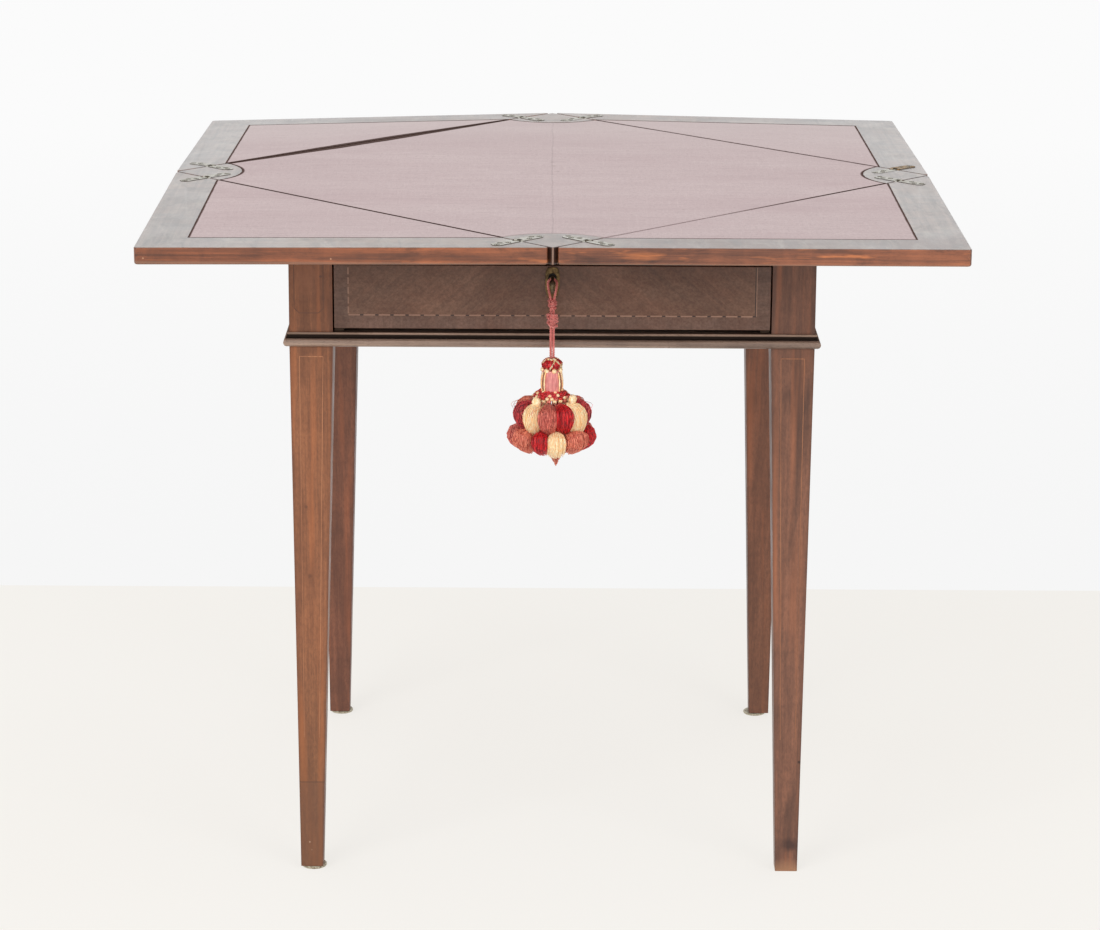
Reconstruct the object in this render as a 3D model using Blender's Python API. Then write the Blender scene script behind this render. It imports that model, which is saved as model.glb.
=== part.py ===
"""Envelope card table, standing open.

A square board turns on a central pivot bolt above a square frame with a drawer. Four triangular
flaps are hinged to the board's sides with flush link hinges and lie flat, so the top is a big square.
The origin is on the floor under the pivot, +Z is up and the drawer faces -Y. All sizes are metres.
"""
import math

import bmesh
import bpy
from mathutils import Matrix, Vector

# Driving sizes of the whole table
CLOSED_SIDE = 0.585
TABLE_HEIGHT = 0.7125
TOP_THICKNESS = 0.0175
FRAME_WIDTH = 0.543
FRAME_CLEARANCE = 0.004
SEAM_GAP = 0.0015
FIT = 0.0003
OVERRUN = 0.010

# Legs and glides
LEG_WIDTH = 0.045
LEG_FOOT_WIDTH = 0.0238
LEG_OUTER_TAPER = 0.0043
LEG_ARRIS = 0.001
GLIDE_RADIUS = 0.0135
GLIDE_THICKNESS = 0.003
GLIDE_EDGE = 0.0008
GLIDE_SHIFT_FRONT_LEFT = 0.0016
GLIDE_SHIFT_BACK_LEFT = 0.0018
GLIDE_SHIFT_BACK_RIGHT = 0.0045

# Rails, their tenons and the moulding round the foot of the frame
FRIEZE_DEPTH = 0.112
RAIL_THICKNESS = 0.018
TENON_THICKNESS = 0.008
TENON_LENGTH = 0.018
TENON_SETBACK = 0.006
TENON_SHOULDER = 0.012
DRAWER_RAIL_HEIGHT = 0.015
RAIL_TENON_SHOULDER = 0.003
TOP_RAIL_DEPTH = 0.030
TOP_RAIL_HEIGHT = 0.0245
RUNNER_HEIGHT = 0.015
RUNNER_BEARING = 0.014
MOULDING_HEIGHT = 0.015
BEAD_RADIUS = 0.0048
BEAD_PROJECTION = 0.006
FILLET_PROJECTION = 0.002
FILLET_HEIGHT = 0.0035
QUIRK_PROJECTION = 0.0007
BEAD_STEPS = 8
ROUND_PROFILE_SHARE = 0.5

# Swivel of the top
BEARER_WIDTH = 0.070
BEARER_THICKNESS = 0.022
BEARER_TENON_LENGTH = 0.010
BEARER_TENON_THICKNESS = 0.010
BEARER_TENON_WIDTH = 0.050
BOLT_RADIUS = 0.006
BOLT_FIT = 0.0005
PIVOT_PLATE_RADIUS = 0.040
NUT_RADIUS = 0.0115
NUT_THICKNESS = 0.009
BOLT_END = 0.003
ROUND_STEPS = 24

# Drawer
DRAWER_END_GAP = 0.0015
DRAWER_BACK_ROOM = 0.125
DRAWER_FRONT_THICKNESS = 0.018
DRAWER_FRONT_GAP = 0.004
DRAWER_TOP_GAP = 0.003
DRAWER_SIDE_THICKNESS = 0.010
DRAWER_SIDE_DROP = 0.0142
DRAWER_LAP = 0.005
DRAWER_BACK_THICKNESS = 0.009
DRAWER_BACK_DROP = 0.004
DRAWER_BACK_INSET = 0.006
DRAWER_BOTTOM_THICKNESS = 0.006
DRAWER_BOTTOM_HEIGHT = 0.006
GROOVE_DEPTH = 0.005

# Lock, escutcheon and key
KEY_DROP = 0.0123
KEY_SHAFT_RADIUS = 0.0023
KEY_BORE_FIT = 0.0005
BIT_REACH = 0.0085
BIT_WIDTH = 0.005
BIT_THICKNESS = 0.002
BIT_SET_IN = 0.0015
KEY_END_FIT = 0.0005
BOW_CENTRE = 0.0315
BOW_LENGTH = 0.020
BOW_HEIGHT = 0.018
BOW_THICKNESS = 0.003
BOW_WIRE = 0.0036
COLLAR_RADIUS = 0.0034
COLLAR_THICKNESS = 0.0018
LOCK_WIDTH = 0.044
LOCK_HEIGHT = 0.028
LOCK_THICKNESS = 0.010
LOCK_CHAMBER_DEPTH = 0.008
ESCUTCHEON_WIDTH = 0.0148
ESCUTCHEON_HEIGHT = 0.034
ESCUTCHEON_THICKNESS = 0.0012
ESCUTCHEON_DROP = 0.0057
ESCUTCHEON_HOLE = 0.0038
ESCUTCHEON_STEPS = 28

# Top: board, flaps and baize
TOP_EDGE_ROUND = 0.0009
UNDER_EDGE_ROUND = 0.0022
FLAP_TIP_ROUND = 0.0026
FLAP_CORNER_ROUND = 0.004
BOARD_CORNER_ROUND = 0.0015
FLAP_SETBACK = 0.0005
BORDER_WIDTH = 0.049
QUADRANT_RADIUS = 0.072
BAIZE_THICKNESS = 0.0007
BAIZE_SEAM_SETBACK = 0.001
QUADRANT_STEPS = 10

# Link hinges let into the seams
HINGE_INSET = 0.050
LEAF_LENGTH = 0.033
LEAF_WIDTH = 0.0135
LEAF_THICKNESS = 0.002
LEAF_SINK = 0.0001
PIN_DEPTH = 0.0022
PIN_RADIUS = 0.0009
KNUCKLE_RADIUS = 0.002
LINK_WIDTH = 0.005
KNUCKLE_STEPS = 8
POCKET_EASE = 0.0002

# How far each flap hangs below level
DROOP = {
    "front_left": math.radians(0.4),
    "front_right": 0.0,
    "back_right": math.radians(1.5),
    "back_left": math.radians(2.3),
}
SEAM_TURN = {
    "front_left": math.radians(225),
    "front_right": math.radians(315),
    "back_right": math.radians(45),
    "back_left": math.radians(135),
}

# Tassel that hangs on the key's shaft
TASSEL_OUT = 0.0185
CORD_RADIUS = 0.0011
CORD_HALF_SPACING = 0.0014
LOOP_RADIUS = 0.0046
SMALL_KNOT_DROP = 0.0224
SMALL_KNOT_RADIUS = 0.0038
SMALL_KNOT_HEIGHT = 0.0055
BIG_KNOT_DROP = 0.0390
BIG_KNOT_RADIUS = 0.0052
BIG_KNOT_HEIGHT = 0.0125
HEAD_DROP = 0.0791
BALL_RADIUS = 0.0108
BALL_HEIGHT = 0.0135
BARREL_RADIUS = 0.0118
BARREL_HEIGHT = 0.0200
COLLAR_RING_RADIUS = 0.0178
COLLAR_RING_HEIGHT = 0.0105
SKIRT_RADIUS = 0.0450
UPPER_TIER_HEIGHT = 0.0360
LOWER_TIER_HEIGHT = 0.0270
SKIRT_TIP_HEIGHT = 0.0095
SKIRT_TIP_RADIUS = 0.006
TUFTS = 8
TUFT_DEPTH_SHARE = 0.10
TUFT_STEPS = 6
CORD_STEPS = 9

# Heights and places that follow from the sizes above
UNDERSIDE = TABLE_HEIGHT - TOP_THICKNESS
FRAME_TOP = UNDERSIDE - FRAME_CLEARANCE
FRAME_FOOT_HEIGHT = FRAME_TOP - FRIEZE_DEPTH
HALF_FRAME = FRAME_WIDTH / 2
INNER_FRAME = HALF_FRAME - LEG_WIDTH
HALF_CLOSED = CLOSED_SIDE / 2
PIN_OFFSET = PIN_DEPTH + SEAM_GAP / 2
BAIZE_RECESS = BAIZE_THICKNESS + FIT
DRAWER_RAIL_TOP = FRAME_FOOT_HEIGHT + DRAWER_RAIL_HEIGHT
DRAWER_SIDE_FOOT = DRAWER_RAIL_TOP + FIT
DRAWER_FRONT_FOOT = DRAWER_RAIL_TOP + DRAWER_FRONT_GAP
DRAWER_FRONT_TOP = FRAME_TOP - TOP_RAIL_HEIGHT - DRAWER_TOP_GAP
DRAWER_SIDE_TOP = DRAWER_FRONT_TOP - DRAWER_SIDE_DROP
KEY_HEIGHT = DRAWER_FRONT_TOP - KEY_DROP
HALF_DRAWER = INNER_FRAME - DRAWER_END_GAP
FRONT_FACE = -HALF_FRAME


def clear_scene():
    for item in list(bpy.data.objects):
        bpy.data.objects.remove(item)


def material(name, colour, roughness, metallic=0.0):
    made = bpy.data.materials.new(name)
    made.use_nodes = True
    shader = made.node_tree.nodes["Principled BSDF"]
    shader.inputs["Base Color"].default_value = (*colour, 1.0)
    shader.inputs["Roughness"].default_value = roughness
    shader.inputs["Metallic"].default_value = metallic
    return made


def add_mesh(name, shape, finish, parent=None, smooth=None):
    """Turn a bmesh into a named object; smooth is the angle past which an edge stays sharp."""
    bmesh.ops.recalc_face_normals(shape, faces=shape.faces)
    mesh = bpy.data.meshes.new(name)
    shape.to_mesh(mesh)
    shape.free()
    if finish is not None:
        mesh.materials.append(finish)
    if smooth is not None:
        mesh.shade_smooth()
        mesh.set_sharp_from_angle(angle=smooth)
    made = bpy.data.objects.new(name, mesh)
    bpy.context.scene.collection.objects.link(made)
    made.parent = parent
    return made


def add_empty(name, location, rotation=(0.0, 0.0, 0.0), parent=None):
    made = bpy.data.objects.new(name, None)
    made.location = location
    made.rotation_euler = rotation
    made.parent = parent
    bpy.context.scene.collection.objects.link(made)
    return made


def boolean(target, shape, operation, parent=None):
    """Cut a shape out of an object, or join it on, with a live modifier."""
    tool = add_mesh(f"tool_{target.name}_{len(target.modifiers)}", shape, None, parent)
    tool.hide_render = True
    tool.display_type = "WIRE"
    step = target.modifiers.new(operation.title(), "BOOLEAN")
    step.operation = operation
    step.solver = "EXACT"
    step.object = tool
    return tool


def block(low, high):
    """A box between two corners."""
    shape = bmesh.new()
    size = Vector(high) - Vector(low)
    middle = (Vector(high) + Vector(low)) / 2
    bmesh.ops.create_cube(shape, size=1.0, matrix=Matrix.Translation(middle) @ Matrix.Diagonal((*size, 1.0)))
    return shape


def loft(rings, closed=False):
    """A solid through rings of equally many points, either capped or joined end to end."""
    shape = bmesh.new()
    rows = [[shape.verts.new(point) for point in ring] for ring in rings]
    count = len(rows[0])
    following_rows = rows[1:] + rows[:1] if closed else rows[1:]
    for lower, upper in zip(rows, following_rows):
        for index in range(count):
            following = (index + 1) % count
            shape.faces.new((lower[index], lower[following], upper[following], upper[index]))
    if not closed:
        shape.faces.new(list(reversed(rows[0])))
        shape.faces.new(rows[-1])
    return shape


def prism(outline, low, high):
    """A flat outline raised between two heights."""
    return loft([[(x, y, low) for x, y in outline], [(x, y, high) for x, y in outline]])


def turned(profile, steps):
    """A profile of (radius, height) points turned round Z; its ends are on the axis."""
    shape = bmesh.new()
    points = [shape.verts.new((radius, 0.0, height)) for radius, height in profile]
    edges = [shape.edges.new(pair) for pair in zip(points, points[1:])]
    bmesh.ops.spin(
        shape, geom=points + edges, cent=(0, 0, 0), axis=(0, 0, 1), angle=2 * math.pi, steps=steps,
        use_merge=True, use_duplicate=False,
    )
    bmesh.ops.remove_doubles(shape, verts=shape.verts, dist=FIT / 10)
    return shape


def placed(shape, matrix):
    bmesh.ops.transform(shape, matrix=matrix, verts=shape.verts)
    return shape


def rounded(corners, radii, steps):
    """An outline with each corner turned into an arc of its own radius."""
    outline = []
    count = len(corners)
    for index, (corner, radius) in enumerate(zip(corners, radii)):
        here = Vector(corner)
        before = (Vector(corners[index - 1]) - here).normalized()
        after = (Vector(corners[(index + 1) % count]) - here).normalized()
        half = before.angle(after) / 2
        centre = here + (before + after).normalized() * radius / math.sin(half)
        start = here + before * radius / math.tan(half) - centre
        sweep = math.pi - 2 * half
        turn = 1 if before.x * after.y - before.y * after.x < 0 else -1
        for step in range(steps + 1):
            angle = turn * sweep * step / steps
            spoke = Matrix.Rotation(angle, 2) @ start
            outline.append(tuple(centre + spoke))
    return outline


def round_edges(shape, chosen, width, segments):
    edges = [edge for edge in shape.edges if chosen(edge)]
    bmesh.ops.bevel(
        shape, geom=edges, offset=width, offset_type="OFFSET", segments=segments, profile=ROUND_PROFILE_SHARE,
        affect="EDGES", clamp_overlap=True, material=-1,
    )


def flat_at(edge, height):
    return all(abs(vert.co.z - height) < FIT / 10 for vert in edge.verts)


def mirrored_places():
    return (("left", -1), ("right", 1))


# Legs, square above the frame's foot and tapered on their two inner faces below it
def leg_section(outer, width, height, side_x, side_y):
    inner = outer - width
    corners = [(outer, outer), (inner, outer), (inner, inner), (outer, inner)]
    if side_x * side_y < 0:
        corners.reverse()
    return [(side_x * x, side_y * y, height) for x, y in corners]


def make_leg(name, side_x, side_y, foot_height):
    sections = [
        leg_section(HALF_FRAME - LEG_OUTER_TAPER, LEG_FOOT_WIDTH, foot_height, side_x, side_y),
        leg_section(HALF_FRAME, LEG_WIDTH, FRAME_FOOT_HEIGHT, side_x, side_y),
        leg_section(HALF_FRAME, LEG_WIDTH, FRAME_TOP, side_x, side_y),
    ]
    shape = loft(sections)
    round_edges(shape, lambda edge: abs(edge.verts[0].co.z - edge.verts[1].co.z) > LEG_WIDTH, LEG_ARRIS, 2)
    leg = add_mesh(name, shape, MAHOGANY)
    depth = TENON_LENGTH + FIT
    near = HALF_FRAME - TENON_SETBACK + FIT
    far = HALF_FRAME - TENON_SETBACK - TENON_THICKNESS - FIT
    mortise_low = FRAME_FOOT_HEIGHT + TENON_SHOULDER - FIT
    mortise_high = FRAME_TOP - TENON_SHOULDER + FIT
    start = INNER_FRAME - OVERRUN
    end = INNER_FRAME + depth
    boolean(leg, sided_block((far, start, mortise_low), (near, end, mortise_high), side_x, side_y), "DIFFERENCE")
    if side_y > 0:
        boolean(leg, sided_block((start, far, mortise_low), (end, near, mortise_high), side_x, side_y), "DIFFERENCE")
        return leg
    for low, high, deep in front_rail_tenons():
        slot_near = HALF_FRAME - deep[0] + FIT
        slot_far = HALF_FRAME - deep[1] - FIT
        slot = sided_block((start, slot_far, low - FIT), (end, slot_near, high + FIT), side_x, side_y)
        boolean(leg, slot, "DIFFERENCE")
    return leg


def sided_block(low, high, side_x, side_y):
    """A box given in one quarter of the plan, moved to the quarter that the two signs name."""
    xs = sorted((side_x * low[0], side_x * high[0]))
    ys = sorted((side_y * low[1], side_y * high[1]))
    return block((xs[0], ys[0], low[2]), (xs[1], ys[1], high[2]))


def front_rail_tenons():
    """Height range and depth range of the tenons on the two rails at the drawer."""
    lower = (
        FRAME_FOOT_HEIGHT + RAIL_TENON_SHOULDER,
        DRAWER_RAIL_TOP - RAIL_TENON_SHOULDER,
        (TENON_SETBACK, LEG_WIDTH - TENON_SETBACK),
    )
    upper = (
        FRAME_TOP - TOP_RAIL_HEIGHT + RAIL_TENON_SHOULDER,
        FRAME_TOP - RAIL_TENON_SHOULDER,
        (TENON_SETBACK, TOP_RAIL_DEPTH - TENON_SETBACK),
    )
    return lower, upper


def make_legs():
    lifted = GLIDE_THICKNESS + FIT
    make_leg("leg_front_left", -1, -1, lifted)
    make_leg("leg_front_right", 1, -1, 0.0)
    make_leg("leg_back_left", -1, 1, lifted)
    make_leg("leg_back_right", 1, 1, lifted)


# Steel glides nailed under three of the feet, each a little off centre
def make_glide(name, side_x, side_y, shift):
    profile = [
        (0.0, 0.0),
        (GLIDE_RADIUS - GLIDE_EDGE, 0.0),
        (GLIDE_RADIUS, GLIDE_EDGE),
        (GLIDE_RADIUS, GLIDE_THICKNESS - GLIDE_EDGE),
        (GLIDE_RADIUS - GLIDE_EDGE, GLIDE_THICKNESS),
        (0.0, GLIDE_THICKNESS),
    ]
    centre = HALF_FRAME - LEG_OUTER_TAPER - LEG_FOOT_WIDTH / 2
    glide = add_mesh(name, turned(profile, ROUND_STEPS), STEEL, smooth=math.radians(30))
    glide.location = (side_x * (centre - shift), side_y * centre, 0.0)


def make_glides():
    make_glide("glide_front_left", -1, -1, GLIDE_SHIFT_FRONT_LEFT)
    make_glide("glide_back_left", -1, 1, GLIDE_SHIFT_BACK_LEFT)
    make_glide("glide_back_right", 1, 1, GLIDE_SHIFT_BACK_RIGHT)


# Side and back rails, tenoned into the legs; a side rail carries the drawer's runner
def make_side_rail(name, side):
    end = INNER_FRAME - FIT
    rail = add_mesh(
        name,
        sided_block((HALF_FRAME - RAIL_THICKNESS, -end, FRAME_FOOT_HEIGHT), (HALF_FRAME, end, FRAME_TOP), side, 1),
        MAHOGANY,
    )
    far = HALF_FRAME - TENON_SETBACK - TENON_THICKNESS
    near = HALF_FRAME - TENON_SETBACK
    reach = INNER_FRAME + TENON_LENGTH
    low = FRAME_FOOT_HEIGHT + TENON_SHOULDER
    high = FRAME_TOP - TENON_SHOULDER
    boolean(rail, sided_block((far, -reach, low), (near, reach, high), side, 1), "UNION")
    runner_top = DRAWER_SIDE_FOOT - FIT
    runner_in = HALF_DRAWER - RUNNER_BEARING
    joined = HALF_FRAME - RAIL_THICKNESS / 2
    runner = sided_block((runner_in, -end, runner_top - RUNNER_HEIGHT), (joined, end, runner_top), side, 1)
    boolean(rail, runner, "UNION")
    return rail


def make_back_rail():
    end = INNER_FRAME - FIT
    rail = add_mesh(
        "back_rail",
        block((-end, HALF_FRAME - RAIL_THICKNESS, FRAME_FOOT_HEIGHT), (end, HALF_FRAME, FRAME_TOP)),
        MAHOGANY,
    )
    far = HALF_FRAME - TENON_SETBACK - TENON_THICKNESS
    near = HALF_FRAME - TENON_SETBACK
    reach = INNER_FRAME + TENON_LENGTH
    low = FRAME_FOOT_HEIGHT + TENON_SHOULDER
    high = FRAME_TOP - TENON_SHOULDER
    boolean(rail, block((-reach, far, low), (reach, near, high)), "UNION")
    boolean(rail, bearer_mortise(HALF_FRAME - RAIL_THICKNESS, 1), "DIFFERENCE")
    return rail


def make_front_rail(name, low, high, depth, tenon):
    end = INNER_FRAME - FIT
    rail = add_mesh(name, block((-end, FRONT_FACE, low), (end, FRONT_FACE + depth, high)), MAHOGANY)
    reach = INNER_FRAME + TENON_LENGTH
    tenon_low, tenon_high, deep = tenon
    cheek = block((-reach, FRONT_FACE + deep[0], tenon_low), (reach, FRONT_FACE + deep[1], tenon_high))
    boolean(rail, cheek, "UNION")
    return rail


def make_front_rails():
    lower, upper = front_rail_tenons()
    make_front_rail("drawer_rail", FRAME_FOOT_HEIGHT, DRAWER_RAIL_TOP, LEG_WIDTH, lower)
    rail = make_front_rail("top_rail", FRAME_TOP - TOP_RAIL_HEIGHT, FRAME_TOP, TOP_RAIL_DEPTH, upper)
    boolean(rail, bearer_mortise(FRONT_FACE + TOP_RAIL_DEPTH, -1), "DIFFERENCE")


# Bead moulding planted round the foot of the frame, mitred at the corners
def make_moulding():
    bead_height = BEAD_RADIUS
    bead_centre = BEAD_PROJECTION - BEAD_RADIUS
    profile = [(FIT, 0.0)]
    for step in range(BEAD_STEPS + 1):
        angle = -math.pi / 2 + math.pi * step / BEAD_STEPS
        profile.append((bead_centre + BEAD_RADIUS * math.cos(angle), bead_height + BEAD_RADIUS * math.sin(angle)))
    bead_top = 2 * BEAD_RADIUS
    fillet_low = MOULDING_HEIGHT - FILLET_HEIGHT
    profile += [
        (QUIRK_PROJECTION, bead_top),
        (QUIRK_PROJECTION, fillet_low),
        (FILLET_PROJECTION, fillet_low),
        (FILLET_PROJECTION, MOULDING_HEIGHT),
        (FIT, MOULDING_HEIGHT),
    ]
    quarters = ((1, 1), (-1, 1), (-1, -1), (1, -1))
    rings = []
    for out, up in profile:
        reach = HALF_FRAME + out
        rings.append([(x * reach, y * reach, FRAME_FOOT_HEIGHT + up) for x, y in quarters])
    add_mesh("bead_moulding", loft(rings, closed=True), MAHOGANY, smooth=math.radians(30))


# Cross rail that carries the pivot bolt, and the bolt with its plate and nut
def bearer_heights():
    middle = FRAME_TOP - BEARER_THICKNESS / 2
    return middle - BEARER_TENON_THICKNESS / 2, middle + BEARER_TENON_THICKNESS / 2


def bearer_mortise(face, side):
    low, high = bearer_heights()
    ends = sorted((face - side * OVERRUN, face + side * (BEARER_TENON_LENGTH + FIT)))
    half = BEARER_TENON_WIDTH / 2 + FIT
    return block((-half, ends[0], low - FIT), (half, ends[1], high + FIT))


def make_bearer():
    front = FRONT_FACE + TOP_RAIL_DEPTH
    back = HALF_FRAME - RAIL_THICKNESS
    half = BEARER_WIDTH / 2
    bearer = add_mesh(
        "pivot_bearer",
        block((-half, front + FIT, FRAME_TOP - BEARER_THICKNESS), (half, back - FIT, FRAME_TOP)),
        MAHOGANY_INSIDE,
    )
    low, high = bearer_heights()
    tenon = block(
        (-BEARER_TENON_WIDTH / 2, front - BEARER_TENON_LENGTH, low),
        (BEARER_TENON_WIDTH / 2, back + BEARER_TENON_LENGTH, high),
    )
    boolean(bearer, tenon, "UNION")
    reach = BOLT_RADIUS + BOLT_FIT
    low = FRAME_TOP - BEARER_THICKNESS - OVERRUN
    bore = turned([(0.0, low), (reach, low), (reach, UNDERSIDE), (0.0, UNDERSIDE)], ROUND_STEPS)
    boolean(bearer, bore, "DIFFERENCE")


def make_pivot_bolt(parent):
    plate_top = UNDERSIDE - FIT
    plate_low = FRAME_TOP + FIT
    nut_top = FRAME_TOP - BEARER_THICKNESS - FIT
    nut_low = nut_top - NUT_THICKNESS
    profile = [
        (0.0, nut_low - BOLT_END),
        (BOLT_RADIUS, nut_low - BOLT_END),
        (BOLT_RADIUS, plate_low),
        (PIVOT_PLATE_RADIUS, plate_low),
        (PIVOT_PLATE_RADIUS, plate_top),
        (0.0, plate_top),
    ]
    bolt = add_mesh("pivot_bolt", turned(profile, ROUND_STEPS), STEEL, parent, math.radians(30))
    corners = 6
    nut = [
        (NUT_RADIUS * math.cos(2 * math.pi * step / corners), NUT_RADIUS * math.sin(2 * math.pi * step / corners))
        for step in range(corners)
    ]
    boolean(bolt, prism(nut, nut_low, nut_top), "UNION", parent)


# Drawer: lapped front, grooved sides, a back above the bottom, and a bottom panel in the grooves
def make_drawer(parent):
    front_back = FRONT_FACE + DRAWER_FRONT_THICKNESS
    side_in = HALF_DRAWER - DRAWER_SIDE_THICKNESS
    side_start = FRONT_FACE + DRAWER_LAP + FIT
    drawer_end = HALF_FRAME - RAIL_THICKNESS - DRAWER_BACK_ROOM
    panel_low = DRAWER_SIDE_FOOT + DRAWER_BOTTOM_HEIGHT
    panel_high = panel_low + DRAWER_BOTTOM_THICKNESS
    front = add_mesh(
        "drawer_front",
        block((-HALF_DRAWER, FRONT_FACE, DRAWER_FRONT_FOOT), (HALF_DRAWER, front_back, DRAWER_FRONT_TOP)),
        MAHOGANY,
        parent,
    )
    for _, sign in mirrored_places():
        lap = sided_block(
            (side_in - FIT, FRONT_FACE + DRAWER_LAP, DRAWER_SIDE_FOOT - OVERRUN),
            (HALF_DRAWER + OVERRUN, front_back + OVERRUN, DRAWER_SIDE_TOP + FIT),
            sign,
            1,
        )
        boolean(front, lap, "DIFFERENCE", parent)
    groove = block(
        (-HALF_DRAWER, front_back - GROOVE_DEPTH, panel_low - FIT),
        (HALF_DRAWER, front_back + OVERRUN, panel_high + FIT),
    )
    boolean(front, groove, "DIFFERENCE", parent)
    for part in keyhole_tools(KEY_SHAFT_RADIUS + KEY_BORE_FIT, FRONT_FACE - OVERRUN, front_back + OVERRUN):
        boolean(front, part, "DIFFERENCE", parent)
    for label, sign in mirrored_places():
        side = add_mesh(
            f"drawer_side_{label}",
            sided_block((side_in, side_start, DRAWER_SIDE_FOOT), (HALF_DRAWER, drawer_end, DRAWER_SIDE_TOP), sign, 1),
            OAK,
            parent,
        )
        slot = sided_block(
            (side_in - OVERRUN, side_start - OVERRUN, panel_low - FIT),
            (side_in + GROOVE_DEPTH, drawer_end + OVERRUN, panel_high + FIT),
            sign,
            1,
        )
        boolean(side, slot, "DIFFERENCE", parent)
    back_end = drawer_end - DRAWER_BACK_INSET
    add_mesh(
        "drawer_back",
        block(
            (-side_in + FIT, back_end - DRAWER_BACK_THICKNESS, panel_high + FIT),
            (side_in - FIT, back_end, DRAWER_SIDE_TOP - DRAWER_BACK_DROP),
        ),
        OAK,
        parent,
    )
    reach = side_in + GROOVE_DEPTH - FIT
    add_mesh(
        "drawer_bottom",
        block((-reach, front_back - GROOVE_DEPTH + FIT, panel_low), (reach, drawer_end, panel_high)),
        OAK,
        parent,
    )


def keyhole_tools(radius, start, end):
    """A round bore for the key's shaft and the slot below it for the bit, both along Y."""
    bore = turned([(0.0, 0.0), (radius, 0.0), (radius, end - start), (0.0, end - start)], ROUND_STEPS // 2)
    lying = Matrix.Translation((0.0, start, KEY_HEIGHT)) @ Matrix.Rotation(math.radians(-90), 4, "X")
    placed(bore, lying)
    half = BIT_THICKNESS / 2 + KEY_BORE_FIT
    slot = block((-half, start, KEY_HEIGHT - BIT_REACH - KEY_BORE_FIT), (half, end, KEY_HEIGHT))
    return bore, slot


# Lock on the back of the drawer front, with a round chamber in which the key's bit turns
def make_lock(parent):
    face = FRONT_FACE + DRAWER_FRONT_THICKNESS + FIT
    top = DRAWER_FRONT_TOP
    lock = add_mesh(
        "drawer_lock",
        block((-LOCK_WIDTH / 2, face, top - LOCK_HEIGHT), (LOCK_WIDTH / 2, face + LOCK_THICKNESS, top)),
        BRASS,
        parent,
    )
    radius = BIT_REACH + 2 * KEY_BORE_FIT
    depth = LOCK_CHAMBER_DEPTH + OVERRUN
    chamber = turned([(0.0, 0.0), (radius, 0.0), (radius, depth), (0.0, depth)], ROUND_STEPS)
    lying = Matrix.Translation((0.0, face - OVERRUN, KEY_HEIGHT)) @ Matrix.Rotation(math.radians(-90), 4, "X")
    boolean(lock, placed(chamber, lying), "DIFFERENCE", parent)


# Tall oval escutcheon on the drawer front
def make_escutcheon(parent):
    outline = []
    for step in range(ESCUTCHEON_STEPS):
        angle = 2 * math.pi * step / ESCUTCHEON_STEPS
        outline.append((ESCUTCHEON_WIDTH / 2 * math.cos(angle), ESCUTCHEON_HEIGHT / 2 * math.sin(angle)))
    plate = prism(outline, FIT, FIT + ESCUTCHEON_THICKNESS)
    upright = Matrix.Translation((0.0, FRONT_FACE, KEY_HEIGHT - ESCUTCHEON_DROP))
    placed(plate, upright @ Matrix.Rotation(math.radians(90), 4, "X"))
    escutcheon = add_mesh("escutcheon", plate, BRASS, parent)
    for part in keyhole_tools(ESCUTCHEON_HOLE, FRONT_FACE - OVERRUN, FRONT_FACE + OVERRUN):
        boolean(escutcheon, part, "DIFFERENCE", parent)


# Key: a shaft along Y with a collar, an oval ring for a bow and a flat bit
def make_key(parent):
    lock_face = DRAWER_FRONT_THICKNESS + FIT
    tip = lock_face + LOCK_CHAMBER_DEPTH - KEY_END_FIT
    bow_back = BOW_CENTRE - BOW_LENGTH / 2 + BOW_WIRE / 2
    collar = FIT + ESCUTCHEON_THICKNESS + FIT
    profile = [
        (0.0, -tip),
        (KEY_SHAFT_RADIUS, -tip),
        (KEY_SHAFT_RADIUS, collar),
        (COLLAR_RADIUS, collar),
        (COLLAR_RADIUS, collar + COLLAR_THICKNESS),
        (KEY_SHAFT_RADIUS, collar + COLLAR_THICKNESS),
        (KEY_SHAFT_RADIUS, bow_back),
        (0.0, bow_back),
    ]
    shaft = placed(turned(profile, ROUND_STEPS // 2), Matrix.Rotation(math.radians(90), 4, "X"))
    key = add_mesh("drawer_key", shaft, STEEL, parent, math.radians(40))
    rings = []
    wire_high = BOW_THICKNESS / 2
    for step in range(ROUND_STEPS):
        angle = 2 * math.pi * step / ROUND_STEPS
        spoke = Vector((0.0, -math.cos(angle), math.sin(angle)))
        middle = Vector(
            (0.0, -BOW_CENTRE + (BOW_LENGTH - BOW_WIRE) / 2 * spoke.y, (BOW_HEIGHT - BOW_WIRE) / 2 * spoke.z)
        )
        across = Vector((wire_high, 0.0, 0.0))
        out = spoke * BOW_WIRE / 2
        rings.append([tuple(middle + out), tuple(middle + across), tuple(middle - out), tuple(middle - across)])
    boolean(key, loft(rings, closed=True), "UNION", parent)
    bit_start = lock_face + BIT_SET_IN
    bit = block(
        (-BIT_THICKNESS / 2, bit_start, -BIT_REACH),
        (BIT_THICKNESS / 2, bit_start + BIT_WIDTH, 0.0),
    )
    boolean(key, bit, "UNION", parent)


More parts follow.
